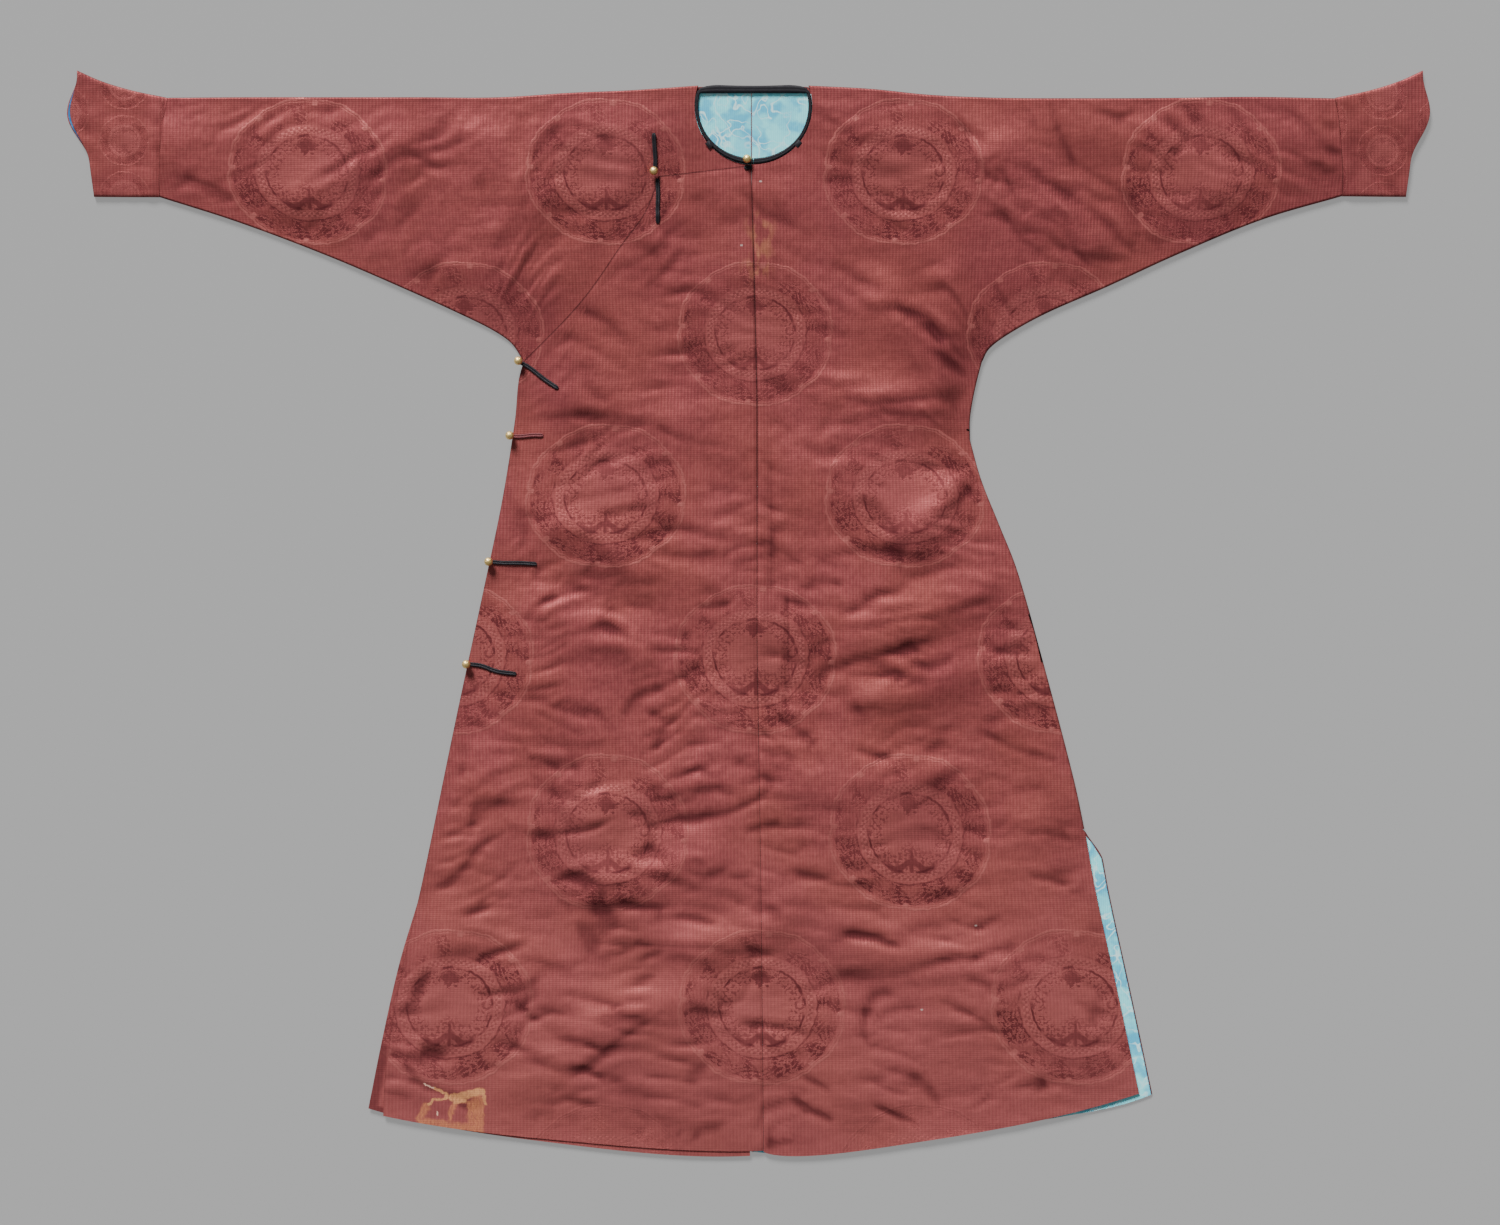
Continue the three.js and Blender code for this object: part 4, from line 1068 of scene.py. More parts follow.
def group_roundels():
    """Woven roundels: a light rim, scroll band, double ring and a small middle figure."""
    g, put_in, out = new_group(
        "Woven roundels",
        [
            (VECTOR, "Vector", None),
            (FLOAT, "Across", ACROSS),
            (FLOAT, "Down", DOWN),
            (FLOAT, "Radius", 0.108),
        ],
        [(FLOAT, "Rim"), (FLOAT, "Figure"), (FLOAT, "Field"), (FLOAT, "Line")],
    )
    at = g.node("ShaderNodeSeparateXYZ", Vector=put_in["Vector"]).outputs
    half = g.times(put_in["Across"], 0.5)
    x = g.math("WRAP", at[0], g.times(half, -1), half)
    y = g.math("WRAP", at[1], put_in["Down"], g.times(put_in["Down"], -1))
    far = g.math(
        "GREATER_THAN",
        g.math(
            "ADD",
            g.math("DIVIDE", g.math("ABSOLUTE", x), half),
            g.math("DIVIDE", g.math("ABSOLUTE", y), put_in["Down"]),
        ),
        1.0,
    )
    shift = lambda value, size: g.math(
        "SUBTRACT", value, g.times(g.times(g.math("SIGN", value), size), far)
    )
    x, y = shift(x, half), shift(y, put_in["Down"])
    x, y = g.math("DIVIDE", x, put_in["Radius"]), g.math("DIVIDE", y, put_in["Radius"])
    place = g.node("ShaderNodeCombineXYZ", X=x, Y=y).outputs[0]
    wander = g.node(
        "ShaderNodeTexNoise", {"noise_dimensions": "2D"}, Vector=place, Scale=9.0, Detail=2.0
    )
    moved = g.vector("SUBTRACT", wander.outputs["Color"], HALF_GREY)
    place = g.vector("ADD", place, g.vector("SCALE", moved, scale=0.05))
    split = g.node("ShaderNodeSeparateXYZ", Vector=place).outputs
    x, y = split[0], split[1]
    r = g.math("SQRT", g.plus(g.times(x, x), g.times(y, y)))
    turn = g.math("ARCTAN2", y, x)
    sine = lambda scale, plus=0.0, of=turn: g.math("SINE", g.math("MULTIPLY_ADD", of, scale, plus))
    grain = g.noise(place, 26.0, 2.0, "2D")
    drift = g.noise(place, 5.0, 1.0, "2D")

    def both(*values, operation="MULTIPLY"):
        total = values[0]
        for value in values[1:]:
            total = g.math(operation, total, value)
        return total

    cusp = g.math("ABSOLUTE", sine(4.0, 0.4))
    edge = g.minus(r, g.times(cusp, 0.024))
    outer_line = g.band(edge, 0.968, 0.007, 0.012)
    rim = g.math("MAXIMUM", outer_line, both(g.band(edge, 0.935, 0.004, 0.008), 0.6))
    rim = both(rim, g.step(g.plus(drift, both(grain, 0.6)), 0.56, 0.86, 0.55, 1.0))
    beads = both(g.step(cusp, 0.09, 0.20, 1.0, 0.0), g.band(r, 0.93, 0.03, 0.012))
    curl = both(
        g.math("SINE", g.math("MULTIPLY_ADD", turn, 31.0, both(sine(30.0, 0.0, r), 2.6))),
        g.math("SINE", g.math("MULTIPLY_ADD", r, 60.0, both(sine(13.0), 2.2))),
    )
    curl = g.plus(curl, g.math("MULTIPLY_ADD", g.noise(place, 46.0, 3.0, "2D"), 4.4, -2.2))
    lump = g.noise(place, 3.4, 1.0, "2D")
    lump = g.plus(lump, g.math("MULTIPLY_ADD", sine(7.0, 1.1), 0.07, both(y, -0.08)))
    patch = g.step(lump, 0.38, 0.60, 0.22, 1.0)
    ring = g.band(r, 0.79, 0.125, 0.02)
    scroll = both(ring, patch, g.step(curl, -0.35, 0.35, 0.36, 0.94))
    fret_place = both(sine(52.0), sine(92.0, 0.0, r))
    fret = both(g.step(fret_place, -0.1, 0.25), g.band(r, 0.575, 0.035, 0.01))
    lines = both(g.band(r, 0.655, 0.006, 0.010), 0.7)
    lines = g.math("MAXIMUM", lines, g.band(r, 0.505, 0.008, 0.012))
    lines = both(lines, g.step(g.plus(drift, both(y, -0.10)), 0.36, 0.58, 0.10, 1.0))
    leaf_x = g.math("ABSOLUTE", x)
    leaf = both(leaf_x, g.math("ABSOLUTE", g.plus(y, -0.36)), operation="ADD")
    leaf = g.plus(leaf, g.math("MULTIPLY_ADD", grain, 0.34, -0.17))
    leaf = g.step(leaf, 0.09, 0.15, 1.0, 0.0)
    arch = g.plus(y, 0.42)
    arch = g.minus(arch, both(g.math("COSINE", both(leaf_x, 17.0)), 0.055))
    spray = both(g.band(arch, 0.0, 0.035, 0.03), g.step(leaf_x, 0.26, 0.34, 1.0, 0.0))
    stem = both(g.step(leaf_x, 0.012, 0.03, 1.0, 0.0), g.band(y, -0.36, 0.13, 0.03))
    leaves = both(g.step(grain, 0.50, 0.60), g.band(r, 0.42, 0.06, 0.05))
    low = both(
        g.step(grain, 0.47, 0.56),
        g.step(g.plus(y, both(leaf_x, 0.8)), -0.16, -0.05, 1.0, 0.0),
        g.step(r, 0.44, 0.48, 1.0, 0.0),
    )
    middle = both(leaf, spray, stem, both(leaves, 0.8), both(low, 0.7), operation="MAXIMUM")
    figure = both(scroll, both(fret, 0.35), both(middle, 0.8), operation="MAXIMUM")
    glint = both(ring, g.band(curl, -0.5, 0.14, 0.14), g.step(patch, 0.2, 0.8, 0.2, 1.0))
    lattice = both(g.step(fret_place, 0.1, -0.3), g.band(r, 0.575, 0.035, 0.01))
    g.put(out["Rim"], both(rim, beads, both(glint, 0.5), both(lattice, 0.45), operation="MAXIMUM"))
    g.put(out["Figure"], both(figure, g.step(y, 0.45, 0.85, 1.0, 0.55)))
    g.put(out["Line"], lines)
    g.put(out["Field"], g.step(r, 0.60, 0.70, 1.0, 0.0))
    return g.tree


def group_ribs():
    """Lengthwise ribs and slubs of the silk."""
    g, put_in, out = new_group(
        "Silk ribs",
        [(VECTOR, "Vector", None), (FLOAT, "Pitch", 0.0045)],
        [(FLOAT, "Height"), (FLOAT, "Shade")],
    )
    at = g.node("ShaderNodeSeparateXYZ", Vector=put_in["Vector"]).outputs
    wave = g.math("SINE", g.times(g.math("DIVIDE", at[0], put_in["Pitch"]), math.tau))
    weft = g.times(g.math("DIVIDE", at[1], put_in["Pitch"]), math.tau * 1.6)
    weft = g.math("SINE", weft)
    stretched = g.vector("MULTIPLY", put_in["Vector"], (420.0, 90.0, 1.0))
    slub = g.noise(stretched, 1.0, 2.0, "2D")
    height = g.plus(g.times(wave, 0.30), g.math("MULTIPLY_ADD", weft, 0.10, 0.5))
    height = g.plus(height, g.math("MULTIPLY_ADD", slub, 0.5, -0.25))
    g.put(out["Height"], height)
    g.put(out["Shade"], g.math("MULTIPLY_ADD", slub, 0.9, g.math("MULTIPLY_ADD", wave, 0.32, 0.05)))
    return g.tree


def group_age():
    """Broad mottling and small worn flecks of old silk, a cloud, and a crumple of fine lying
    streaks used for bump and for painted shade and highlight on the silk.
    """
    g, put_in, out = new_group(
        "Aged silk",
        [(VECTOR, "Vector", None)],
        [(FLOAT, name) for name in ("Broad", "Small", "Fleck", "Crumple", "Cloud")],
    )
    lying = g.vector("MULTIPLY", put_in["Vector"], (19.0, 58.0, 19.0))
    crumple = g.noise(lying, 1.0, 3.0)
    soft = g.noise(put_in["Vector"], 4.0, 1.0)
    g.put(out["Crumple"], g.times(crumple, g.step(soft, 0.3, 0.7, 0.5, 1.0)))
    cloud = g.noise(g.vector("MULTIPLY", put_in["Vector"], (5.0, 9.0, 5.0)), 1.0, 3.0)
    g.put(out["Cloud"], g.step(cloud, 0.44, 0.68))
    broad = g.noise(put_in["Vector"], 7.0, 3.0)
    small = g.noise(put_in["Vector"], 95.0, 4.0)
    fleck = g.noise(put_in["Vector"], 240.0, 1.0)
    g.put(out["Broad"], g.step(broad, 0.34, 0.66))
    g.put(out["Small"], small)
    g.put(out["Fleck"], g.step(fleck, 0.74, 0.79))
    return g.tree


def group_mark():
    """A soft mark from one point to another, with a wandering edge."""
    g, put_in, out = new_group(
        "Drawn mark",
        [
            (VECTOR, "Vector", None),
            (VECTOR, "From", None),
            (VECTOR, "To", None),
            (FLOAT, "Width", 0.004),
            (FLOAT, "Soft", 0.003),
        ],
        [(FLOAT, "Mask")],
    )
    run = g.vector("SUBTRACT", put_in["To"], put_in["From"])
    off = g.vector("SUBTRACT", put_in["Vector"], put_in["From"])
    share = g.math("DIVIDE", g.vector("DOT_PRODUCT", off, run), g.vector("DOT_PRODUCT", run, run))
    share = g.math("MINIMUM", g.math("MAXIMUM", share, 0.0), 1.0)
    length = g.vector("LENGTH", g.vector("SUBTRACT", off, g.vector("SCALE", run, scale=share)))
    reach = g.plus(put_in["Width"], put_in["Soft"])
    g.put(out["Mask"], g.step(length, put_in["Width"], reach, 1.0, 0.0))
    return g.tree


GROUPS = {}


def groups():
    if not GROUPS:
        GROUPS.update(
            roundels=group_roundels(), ribs=group_ribs(), age=group_age(), mark=group_mark()
        )
    return GROUPS


def use_group(g, name, **inputs):
    made = g.node("ShaderNodeGroup", {"node_tree": groups()[name]}, **inputs)
    return made.outputs


def new_material(name):
    material = bpy.data.materials.new(name)
    material.use_nodes = True
    g = Graph(material.node_tree)
    shader = material.node_tree.nodes["Principled BSDF"]
    return material, g, shader


def marks(g, place, rows):
    """Largest of several drawn marks: x0, y0, x1, y1 on the grid, width, soft mm."""
    total = None
    for x0, y0, x1, y1, width, soft in rows:
        start, end = ((*((from_grid(at) + MIDDLE[:2]) * MM), 0.0) for at in ((x0, y0), (x1, y1)))
        sizes = {"Width": width * MM, "Soft": soft * MM}
        mask = use_group(g, "mark", Vector=place, From=start, To=end, **sizes)["Mask"]
        total = mask if total is None else g.math("MAXIMUM", total, mask)
    return total


# Bleached mark near the hem: bright streaks, the washed-out cloth below, pale flecks
STAIN = [
    (434, 1087, 446, 1093, 0.9, 1.6),
    (446, 1093, 448, 1097, 1.4, 1.8),
    (447, 1097, 434, 1099, 1.2, 2.0),
    (434, 1099, 429, 1104, 1.2, 2.0),
    (453, 1097, 482, 1091, 3.0, 3.0),
    (456, 1100, 464, 1100, 2.6, 3.0),
    (484, 1090, 485, 1103, 0.9, 1.8),
]
STAIN_WASH = [
    (426, 1107, 420, 1118, 2.6, 5.0),
    (454, 1104, 450, 1118, 1.2, 4.0),
    (470, 1103, 470, 1129, 1.0, 5.0),
    (478, 1100, 478, 1130, 6.0, 4.0),
    (422, 1121, 480, 1129, 2.0, 6.0),
]
STAIN_FLECKS = [
    (425, 1083, 426, 1085, 0.8, 1.2),
    (428, 1085, 434, 1087, 0.5, 1.4),
    (438, 1111, 438, 1114, 0.5, 1.0),
]
# Painted shade in the opening of the side seam below the waist, on the wearer's left, and a dark
# tack above it
SLIT = [
    (1029, 615, 1036, 634, 0.9, 1.0),
    (1036, 634, 1042, 661, 1.5, 1.0),
    (967, 430, 970, 431, 0.9, 0.8),
]
# Painted shade on the corner of the under layer beside the overlap's hem
UNDER_CORNER_SHADE = [(382, 1050, 371, 1108, 5.0, 8.0), (371, 1107, 385, 1111, 3.0, 4.0)]
SEAM_TINT = [(760, 228, 757, 270, 5.0, 22.0)]
WHITE_SPECKS = [(760, 182), (741, 246), (975, 925), (921, 1009)]

# Colours that the marks and seams take beside those a user may change
RUSSET, RIM_SILK, VALLEY_SHADE = (0.33, 0.095, 0.056, 1), (0.52, 0.155, 0.14, 1), (0.066, 0.011, 0.015, 1)
OPEN_SEAM_SHADE, SEAM_SHADE, SEAM_LINE_AND_SHADOW = (
    (0.012, 0.005, 0.005, 1),
    (0.045, 0.010, 0.012, 1),
    (0.030, 0.008, 0.010, 1),
)
SPECK, WASH, PALE_FLECK = (0.7, 0.6, 0.55, 1), (0.82, 0.31, 0.13, 1), (1.0, 0.60, 0.45, 1)
LINING_SEAM = (0.05, 0.03, 0.10, 1)
HALF_GREY = (0.5, 0.5, 0.5)


def scaled(colour, factor, most=math.inf):
    """A colour made lighter or darker, opaque."""
    return tuple(min(most, factor * c) for c in colour[:3]) + (1,)


def dress(g, shader, colour, rough, bump, **others):
    """A material's colour, roughness and bump (strength, distance, height), and more."""
    g.put(shader.inputs["Base Color"], colour)
    g.put(shader.inputs["Roughness"], rough)
    strength, distance, height = bump
    made = g.node("ShaderNodeBump", Strength=strength, Distance=distance, Height=height)
    g.put(shader.inputs["Normal"], made.outputs[0])
    for key, value in others.items():
        g.put(shader.inputs[key.replace("_", " ")], value)


def silk_material(name, roundels, stained=False, tinted=False, slit=False, under=False, worn=0.92):
    """Red-brown damask; worn is how strongly the woven figures still show."""
    colours, sizes = bpy.context.scene.robe_colours, bpy.context.scene.robe_sizes
    base, light, dark = tuple(colours.silk), tuple(colours.silk_light), tuple(colours.silk_dark)
    material, g, shader = new_material(name)
    weave = g.weave()
    place = g.place()
    across, down, radius = roundels
    woven = use_group(g, "roundels", Vector=weave, Across=across, Down=down, Radius=radius)
    ribs = use_group(g, "ribs", Vector=weave, Pitch=sizes.rib)
    age = use_group(g, "age", Vector=place)
    colour = g.tint(base, ribs["Shade"], 0.72, light)
    colour = g.mix(g.step(age["Small"], 0.35, 0.68, 0.0, 0.26), colour, dark)
    colour = g.tint(colour, age["Broad"], 0.22, RUSSET)
    colour = g.tint(colour, age["Cloud"], 0.34, dark)
    worn = g.step(age["Broad"], 0.0, 1.0, 0.65 * worn, worn)
    down_robe = g.node("ShaderNodeSeparateXYZ", Vector=place).outputs[1]
    worn = g.times(worn, g.step(down_robe, -0.658, -0.630))
    # Painted light: the silk is made lighter toward the hem and darker toward the top
    colour = g.mix(g.step(down_robe, -0.12, -0.62, 0.0, 0.34), colour, light)
    colour = g.mix(g.step(down_robe, 0.10, 0.46, 0.0, 0.24), colour, dark)
    colour = g.tint(colour, woven["Field"], 0.22, light)
    colour = g.tint(colour, woven["Figure"], worn, dark)
    colour = g.tint(colour, woven["Line"], g.times(worn, 0.9), dark)
    colour = g.tint(colour, woven["Rim"], g.times(worn, 0.72), RIM_SILK)
    colour = g.tint(colour, age["Fleck"], 0.18, light)
    # Painted shade in the crease valleys and painted highlight on their crests, driven by the
    # crease depth and the crumple
    fold = g.attribute("fold")
    fold = g.plus(fold, g.math("MULTIPLY_ADD", age["Crumple"], 1.9, -0.68))
    colour = g.mix(g.step(fold, 0.2, 1.5, 0.0, 0.22), colour, light)
    colour = g.mix(g.step(fold, -2.7, 0.25, 0.82, 0.0), colour, VALLEY_SHADE)
    flat = g.vector("MULTIPLY", place, (1.0, 1.0, 0.0))
    # Painted shade on the corner of the under layer
    if under:
        colour = g.tint(colour, marks(g, flat, UNDER_CORNER_SHADE), 0.6, dark)
    # Painted shade in the side seam's opening, and the dark tack
    if slit:
        colour = g.mix(marks(g, flat, SLIT), colour, OPEN_SEAM_SHADE)
    if tinted:
        patchy = g.noise(g.vector("MULTIPLY", place, (90.0, 40.0, 1.0)), 1.0, 2.0)
        patchy = g.step(patchy, 0.45, 0.65, 0.0, 0.22)
        colour = g.tint(colour, marks(g, flat, SEAM_TINT), patchy, tuple(colours.stain))
        specks = [(x, y, x + 1, y, 0.8, 0.8) for x, y in WHITE_SPECKS]
        colour = g.tint(colour, marks(g, flat, specks), 0.5, SPECK)
    if stained:
        wander = g.node("ShaderNodeTexNoise", Vector=place, Scale=120.0, Detail=2.0)
        moved = g.vector("SUBTRACT", wander.outputs["Color"], HALF_GREY)
        moved = g.vector("ADD", place, g.vector("SCALE", moved, scale=0.009))
        flat = g.vector("MULTIPLY", moved, (1.0, 1.0, 0.0))
        streaks = g.noise(g.vector("MULTIPLY", flat, (900.0, 120.0, 1.0)), 1.0, 2.0)
        wash = g.times(marks(g, flat, STAIN_WASH), g.step(streaks, 0.3, 0.7, 0.25, 0.70))
        colour = g.mix(wash, colour, WASH)
        bright = g.times(marks(g, flat, STAIN), g.step(streaks, 0.3, 0.6, 0.55, 1.0))
        colour = g.mix(bright, colour, tuple(colours.stain))
        colour = g.mix(marks(g, flat, STAIN_FLECKS), colour, PALE_FLECK)
    # Painted shade along seams, cuff edges and rolled fold edges, and a dark seam line that also
    # serves as painted shadow along the overlap's top edge
    edge = g.attribute("edge")
    colour = g.mix(g.step(edge, 0.2, 2.4, 0.5, 0.0), colour, SEAM_SHADE)
    colour = g.mix(g.step(edge, -0.7, 0.8, 0.7, 0.0), colour, SEAM_LINE_AND_SHADOW)
    rough = g.times(woven["Figure"], 0.14)
    rough = g.plus(rough, g.math("MULTIPLY_ADD", age["Small"], 0.14, 0.48))
    rough = g.minus(rough, g.times(woven["Rim"], 0.08))
    height = ribs["Height"]
    for part, share in (
        (woven["Figure"], -0.7),
        (woven["Rim"], 0.5),
        (age["Small"], 0.8),
        (age["Crumple"], 4.0),
    ):
        height = g.plus(height, g.times(part, share))
    sheen = {"Metallic": 0.5, "Specular_IOR_Level": 0.15, "Specular_Tint": (1.0, 0.6, 0.55, 1)}
    dress(g, shader, colour, rough, (0.5, 0.0005, height), **sheen)
    return material


def lining_material(name, base, dark, radius):
    """Lining damask with small roundels, pale sprays and darker clouds."""
    sizes = bpy.context.scene.robe_sizes
    material, g, shader = new_material(name)
    weave = g.weave()
    place = g.place()
    across, down = radius * 3.2, radius * 1.9
    woven = use_group(g, "roundels", Vector=weave, Across=across, Down=down, Radius=radius)
    ribs = use_group(g, "ribs", Vector=weave, Pitch=sizes.rib * 0.6)
    age = use_group(g, "age", Vector=place)
    colour = g.tint(base, ribs["Shade"], 0.06, dark)
    colour = g.tint(colour, woven["Figure"], 0.20, dark)
    cloud = g.noise(place, 32.0, 3.0)
    colour = g.mix(g.step(cloud, 0.45, 0.62, 0.0, 0.76), colour, dark)
    pale = tuple(min(1.0, 1.15 * c + 0.36 * base[1]) for c in base[:3]) + (1,)
    for scale, middle in ((24.0, 0.50), (38.0, 0.56)):
        sprays = g.band(g.noise(place, scale, 2.0), middle, 0.006, 0.014)
        colour = g.tint(colour, sprays, g.step(cloud, 0.35, 0.6, 0.35, 0.9), pale)
    # Painted shade in the lining's low hollows
    fold = g.attribute("fold")
    colour = g.mix(g.step(fold, -1.0, -0.2, 0.30, 0.0), colour, dark)
    edge = g.attribute("edge")
    colour = g.mix(g.step(edge, 0.1, 1.3, 0.75, 0.0), colour, LINING_SEAM)
    rough = g.math("MULTIPLY_ADD", age["Small"], 0.2, 0.3)
    dress(g, shader, colour, rough, (0.4, 0.0005, ribs["Height"]), Sheen_Weight=0.2)
    return material


def satin_material(name, base, lighter):
    """Satin strip, its fine weft seen across it."""
    material, g, shader = new_material(name)
    place = g.place()
    ribs = use_group(g, "ribs", Vector=place, Pitch=0.0011)
    age = use_group(g, "age", Vector=place)
    colour = g.tint(base, ribs["Shade"], 0.6, lighter)
    colour = g.tint(colour, age["Fleck"], 0.3, scaled(lighter, 2, 1))
    rough = g.math("MULTIPLY_ADD", age["Small"], 0.25, 0.45)
    sheen = {"Sheen_Weight": 0.05, "Specular_IOR_Level": 0.3}
    dress(g, shader, colour, rough, (0.5, 0.0004, ribs["Height"]), **sheen)
    return material


def black_satin():
    """The satin of the neck binding and the black loops."""
    base = tuple(bpy.context.scene.robe_colours.satin)
    return shared("black_satin", lambda: satin_material("black_satin", base, scaled(base, 2.6)))


def gilt_material():
    colours = bpy.context.scene.robe_colours
    material, g, shader = new_material("gilt")
    place = g.place()
    wear = g.noise(place, 320.0, 3.0)
    pits = g.noise(place, 900.0, 2.0)
    colour = g.mix(g.step(wear, 0.42, 0.68), tuple(colours.gilt), scaled(colours.gilt, 0.72))
    rough = g.step(wear, 0.3, 0.7, 0.40, 0.58)
    dress(g, shader, colour, rough, (0.35, 0.0003, pits), Metallic=1.0)
    return material


def shared(name, make):
    """A material by name, made the first time it is asked for."""
    return bpy.data.materials.get(name) or make()


def silk(name, **extras):
    sizes = bpy.context.scene.robe_sizes
    return shared(name, lambda: silk_material(name, (ACROSS, DOWN, sizes.roundel), **extras))


# ---------------------------------------------------------------- operators


class ROBE_OT_halves(bpy.types.Operator):
    """Left and right halves, each one loom width folded at the shoulder"""

    bl_idname = "robe.halves"
    bl_label = "Left and right halves"

    def execute(self, context):
        wall = context.scene.robe_sizes.wall
        seam = [(x + SEAM_GAP, y) for x, y in CENTRE_SEAM]
        height = rolled(front_height, seam, 0.8, 2.2)
        left = body_sheet("left", (150, 26, 240), 70, height)
        material = silk("silk_left", tinted=True, slit=True)
        sew("robe_left_half", left, wall, "robe_silk", material, "body_left", (0.79, 2.86), 1.27)
        right = body_sheet("right", (150, 26, 130), 60, under_height)
        material = silk("silk_right", under=True)
        sew("robe_right_half", right, wall, "robe_silk", material, "body_right", (0.79, 2.86), 1.26)
        return {"FINISHED"}


class ROBE_OT_overlap(bpy.types.Operator):
    """Outer flap that crosses the front and fastens at the wearer's right"""

    bl_idname = "robe.overlap"
    bl_label = "Overlap"

    def execute(self, context):
        height = rolled(front_height, CENTRE_SEAM, 0.8, 2.2)
        edge = OVERLAP_NECK + OVERLAP_SIDE[1:]
        height = rolled(height, edge, 0.35, 2.5)
        material = silk("silk_overlap", stained=True, tinted=True)
        sew(
            "robe_overlap",
            overlap_sheet(height),
            context.scene.robe_sizes.wall,
            "robe_silk",
            material,
            "outer_flap",
            (0.51, 1.31),
            0.484,
            ("robe_right_half",),
        )
        return {"FINISHED"}


class ROBE_OT_cuffs(bpy.types.Operator):
    """Two horse-hoof cuffs and the lining edge that shows in the right one"""

    bl_idname = "robe.cuffs"
    bl_label = "Cuffs"

    def execute(self, context):
        sizes, colours = context.scene.robe_sizes, context.scene.robe_colours
        material = silk_material("silk_cuff", (0.16, 0.0375, sizes.cuff_roundel), worn=0.4)
        for side, first_round in (("left", (842.7, 689)), ("right", (-833, 702.7))):
            sheet = cuff_sheet(side, first_round)
            name, node = f"robe_cuff_{side}", f"cuff_{side}"
            sew(name, sheet, sizes.wall, "robe_silk", material, node, *CUFF_CUT[side])
        deep = tuple(colours.cuff_lining)
        blue = lining_material("silk_cuff_lining", deep, scaled(deep, 0.6), 0.02)
        sew(
            "robe_cuff_lining",
            cuff_lining_sheet(),
            LINING_WALL,
            "cuff_lining_silk",
            blue,
            "cuff_right_lining",
            (0.126, 0.151),
            0.0137,
        )
        return {"FINISHED"}


class ROBE_OT_linings(bpy.types.Operator):
    """Pale blue back linings, seamed at the centre"""

    bl_idname = "robe.linings"
    bl_label = "Back linings"

    def execute(self, context):
        colours = context.scene.robe_colours
        pale, dark = tuple(colours.lining), tuple(colours.lining_dark)
        material = lining_material("silk_lining", pale, dark, 0.05)
        for side in ("left", "right"):
            name, node, sheet = f"robe_lining_{side}", f"lining_{side}", lining_sheet(side)
            sew(name, sheet, LINING_WALL, "lining_silk", material, node, *LINING_CUT[side])
        return {"FINISHED"}


def tube(rings):
    """Points and faces of a skin over closed rings, capped at both ends."""
    count, sides, _ = rings.shape
    ids = np.arange(count * sides).reshape(count, sides)
    after = np.roll(ids, -1, axis=1)
    faces = np.stack([ids[:-1], after[:-1], after[1:], ids[1:]], axis=-1).reshape(-1, 4).tolist()
    points = np.vstack([rings.reshape(-1, 3), rings[0].mean(0), rings[-1].mean(0)])
    first, last = count * sides, count * sides + 1
    for j in range(sides):
        k = (j + 1) % sides
        faces.append([first, ids[0, k], ids[0, j]])
        faces.append([last, ids[-1, j], ids[-1, k]])
    return points, faces


def outwards(obj):
    only(obj)
    bpy.ops.object.mode_set(mode="EDIT")
    bpy.ops.mesh.select_all(action="SELECT")
    bpy.ops.mesh.remove_doubles(threshold=1e-6)
    bpy.ops.mesh.normals_make_consistent(inside=False)
    bpy.ops.object.mode_set(mode="OBJECT")


def binding_rings():
    """Rounded band round the neck, wider at the front and back."""
    begin = math.atan2(NECK_TOP - NECK_Y, 73)
    angle = np.concatenate(
        [
            np.linspace(-math.pi / 2 + 0.006, begin, 60),
            np.linspace(begin, math.pi - begin, 50)[1:-1],
            np.linspace(math.pi - begin, 1.5 * math.pi - 0.006, 60),
        ]
    )
    back = (angle > begin + 1e-6) & (angle < math.pi - begin - 1e-6)
    reach = np.where(back, (NECK_TOP - NECK_Y) / np.maximum(np.sin(angle), 0.2), 77.8)
    reach = np.minimum(reach, 77.8)
    outward = np.column_stack([np.cos(angle), np.sin(angle)])
    outer = np.array([NECK_X, NECK_Y]) + outward * reach[:, None]
    front = np.maximum(0, -np.sin(angle)) ** 3
    inner = np.array([NECK_X, NECK_Y]) + outward * (reach - (4.6 + 3.4 * front))[:, None]
    limit = back | (np.sin(angle) > 0.2)
    inner[:, 1] = np.where(limit, np.minimum(inner[:, 1], NECK_TOP - 10.5), inner[:, 1])
    corner = np.exp(-(((np.abs(angle - math.pi / 2) - (math.pi / 2 - begin)) / 0.09) ** 2))
    outer[:, 1] += np.where(back, 2.4 * ((outer[:, 0] - NECK_X) / 68) ** 2 - 0.4, 0) - 3.2 * corner
    outer[:, 0] -= np.sign(outer[:, 0] - NECK_X) * 1.8 * corner
    profile = np.array(
        [(0, 0.2), (0.02, 0.6), (0.09, 0.86), (0.24, 1), (0.42, 0.97), (0.5, 0.93), (0.58, 0.97)]
        + [(0.76, 1), (0.91, 0.86), (0.98, 0.6), (1, 0.2), (0.85, 0), (0.15, 0)]
    )
    u, w = profile.T
    xy = outer[:, None] * (1 - u)[None, :, None] + inner[:, None] * u[None, :, None]
    ripple = 0.12 * np.sin(np.arange(len(angle)) * 1.7)[:, None]
    z = 2.9 + (3.9 + ripple * (w > 0.5)) * w[None]
    return np.dstack([xy, z])


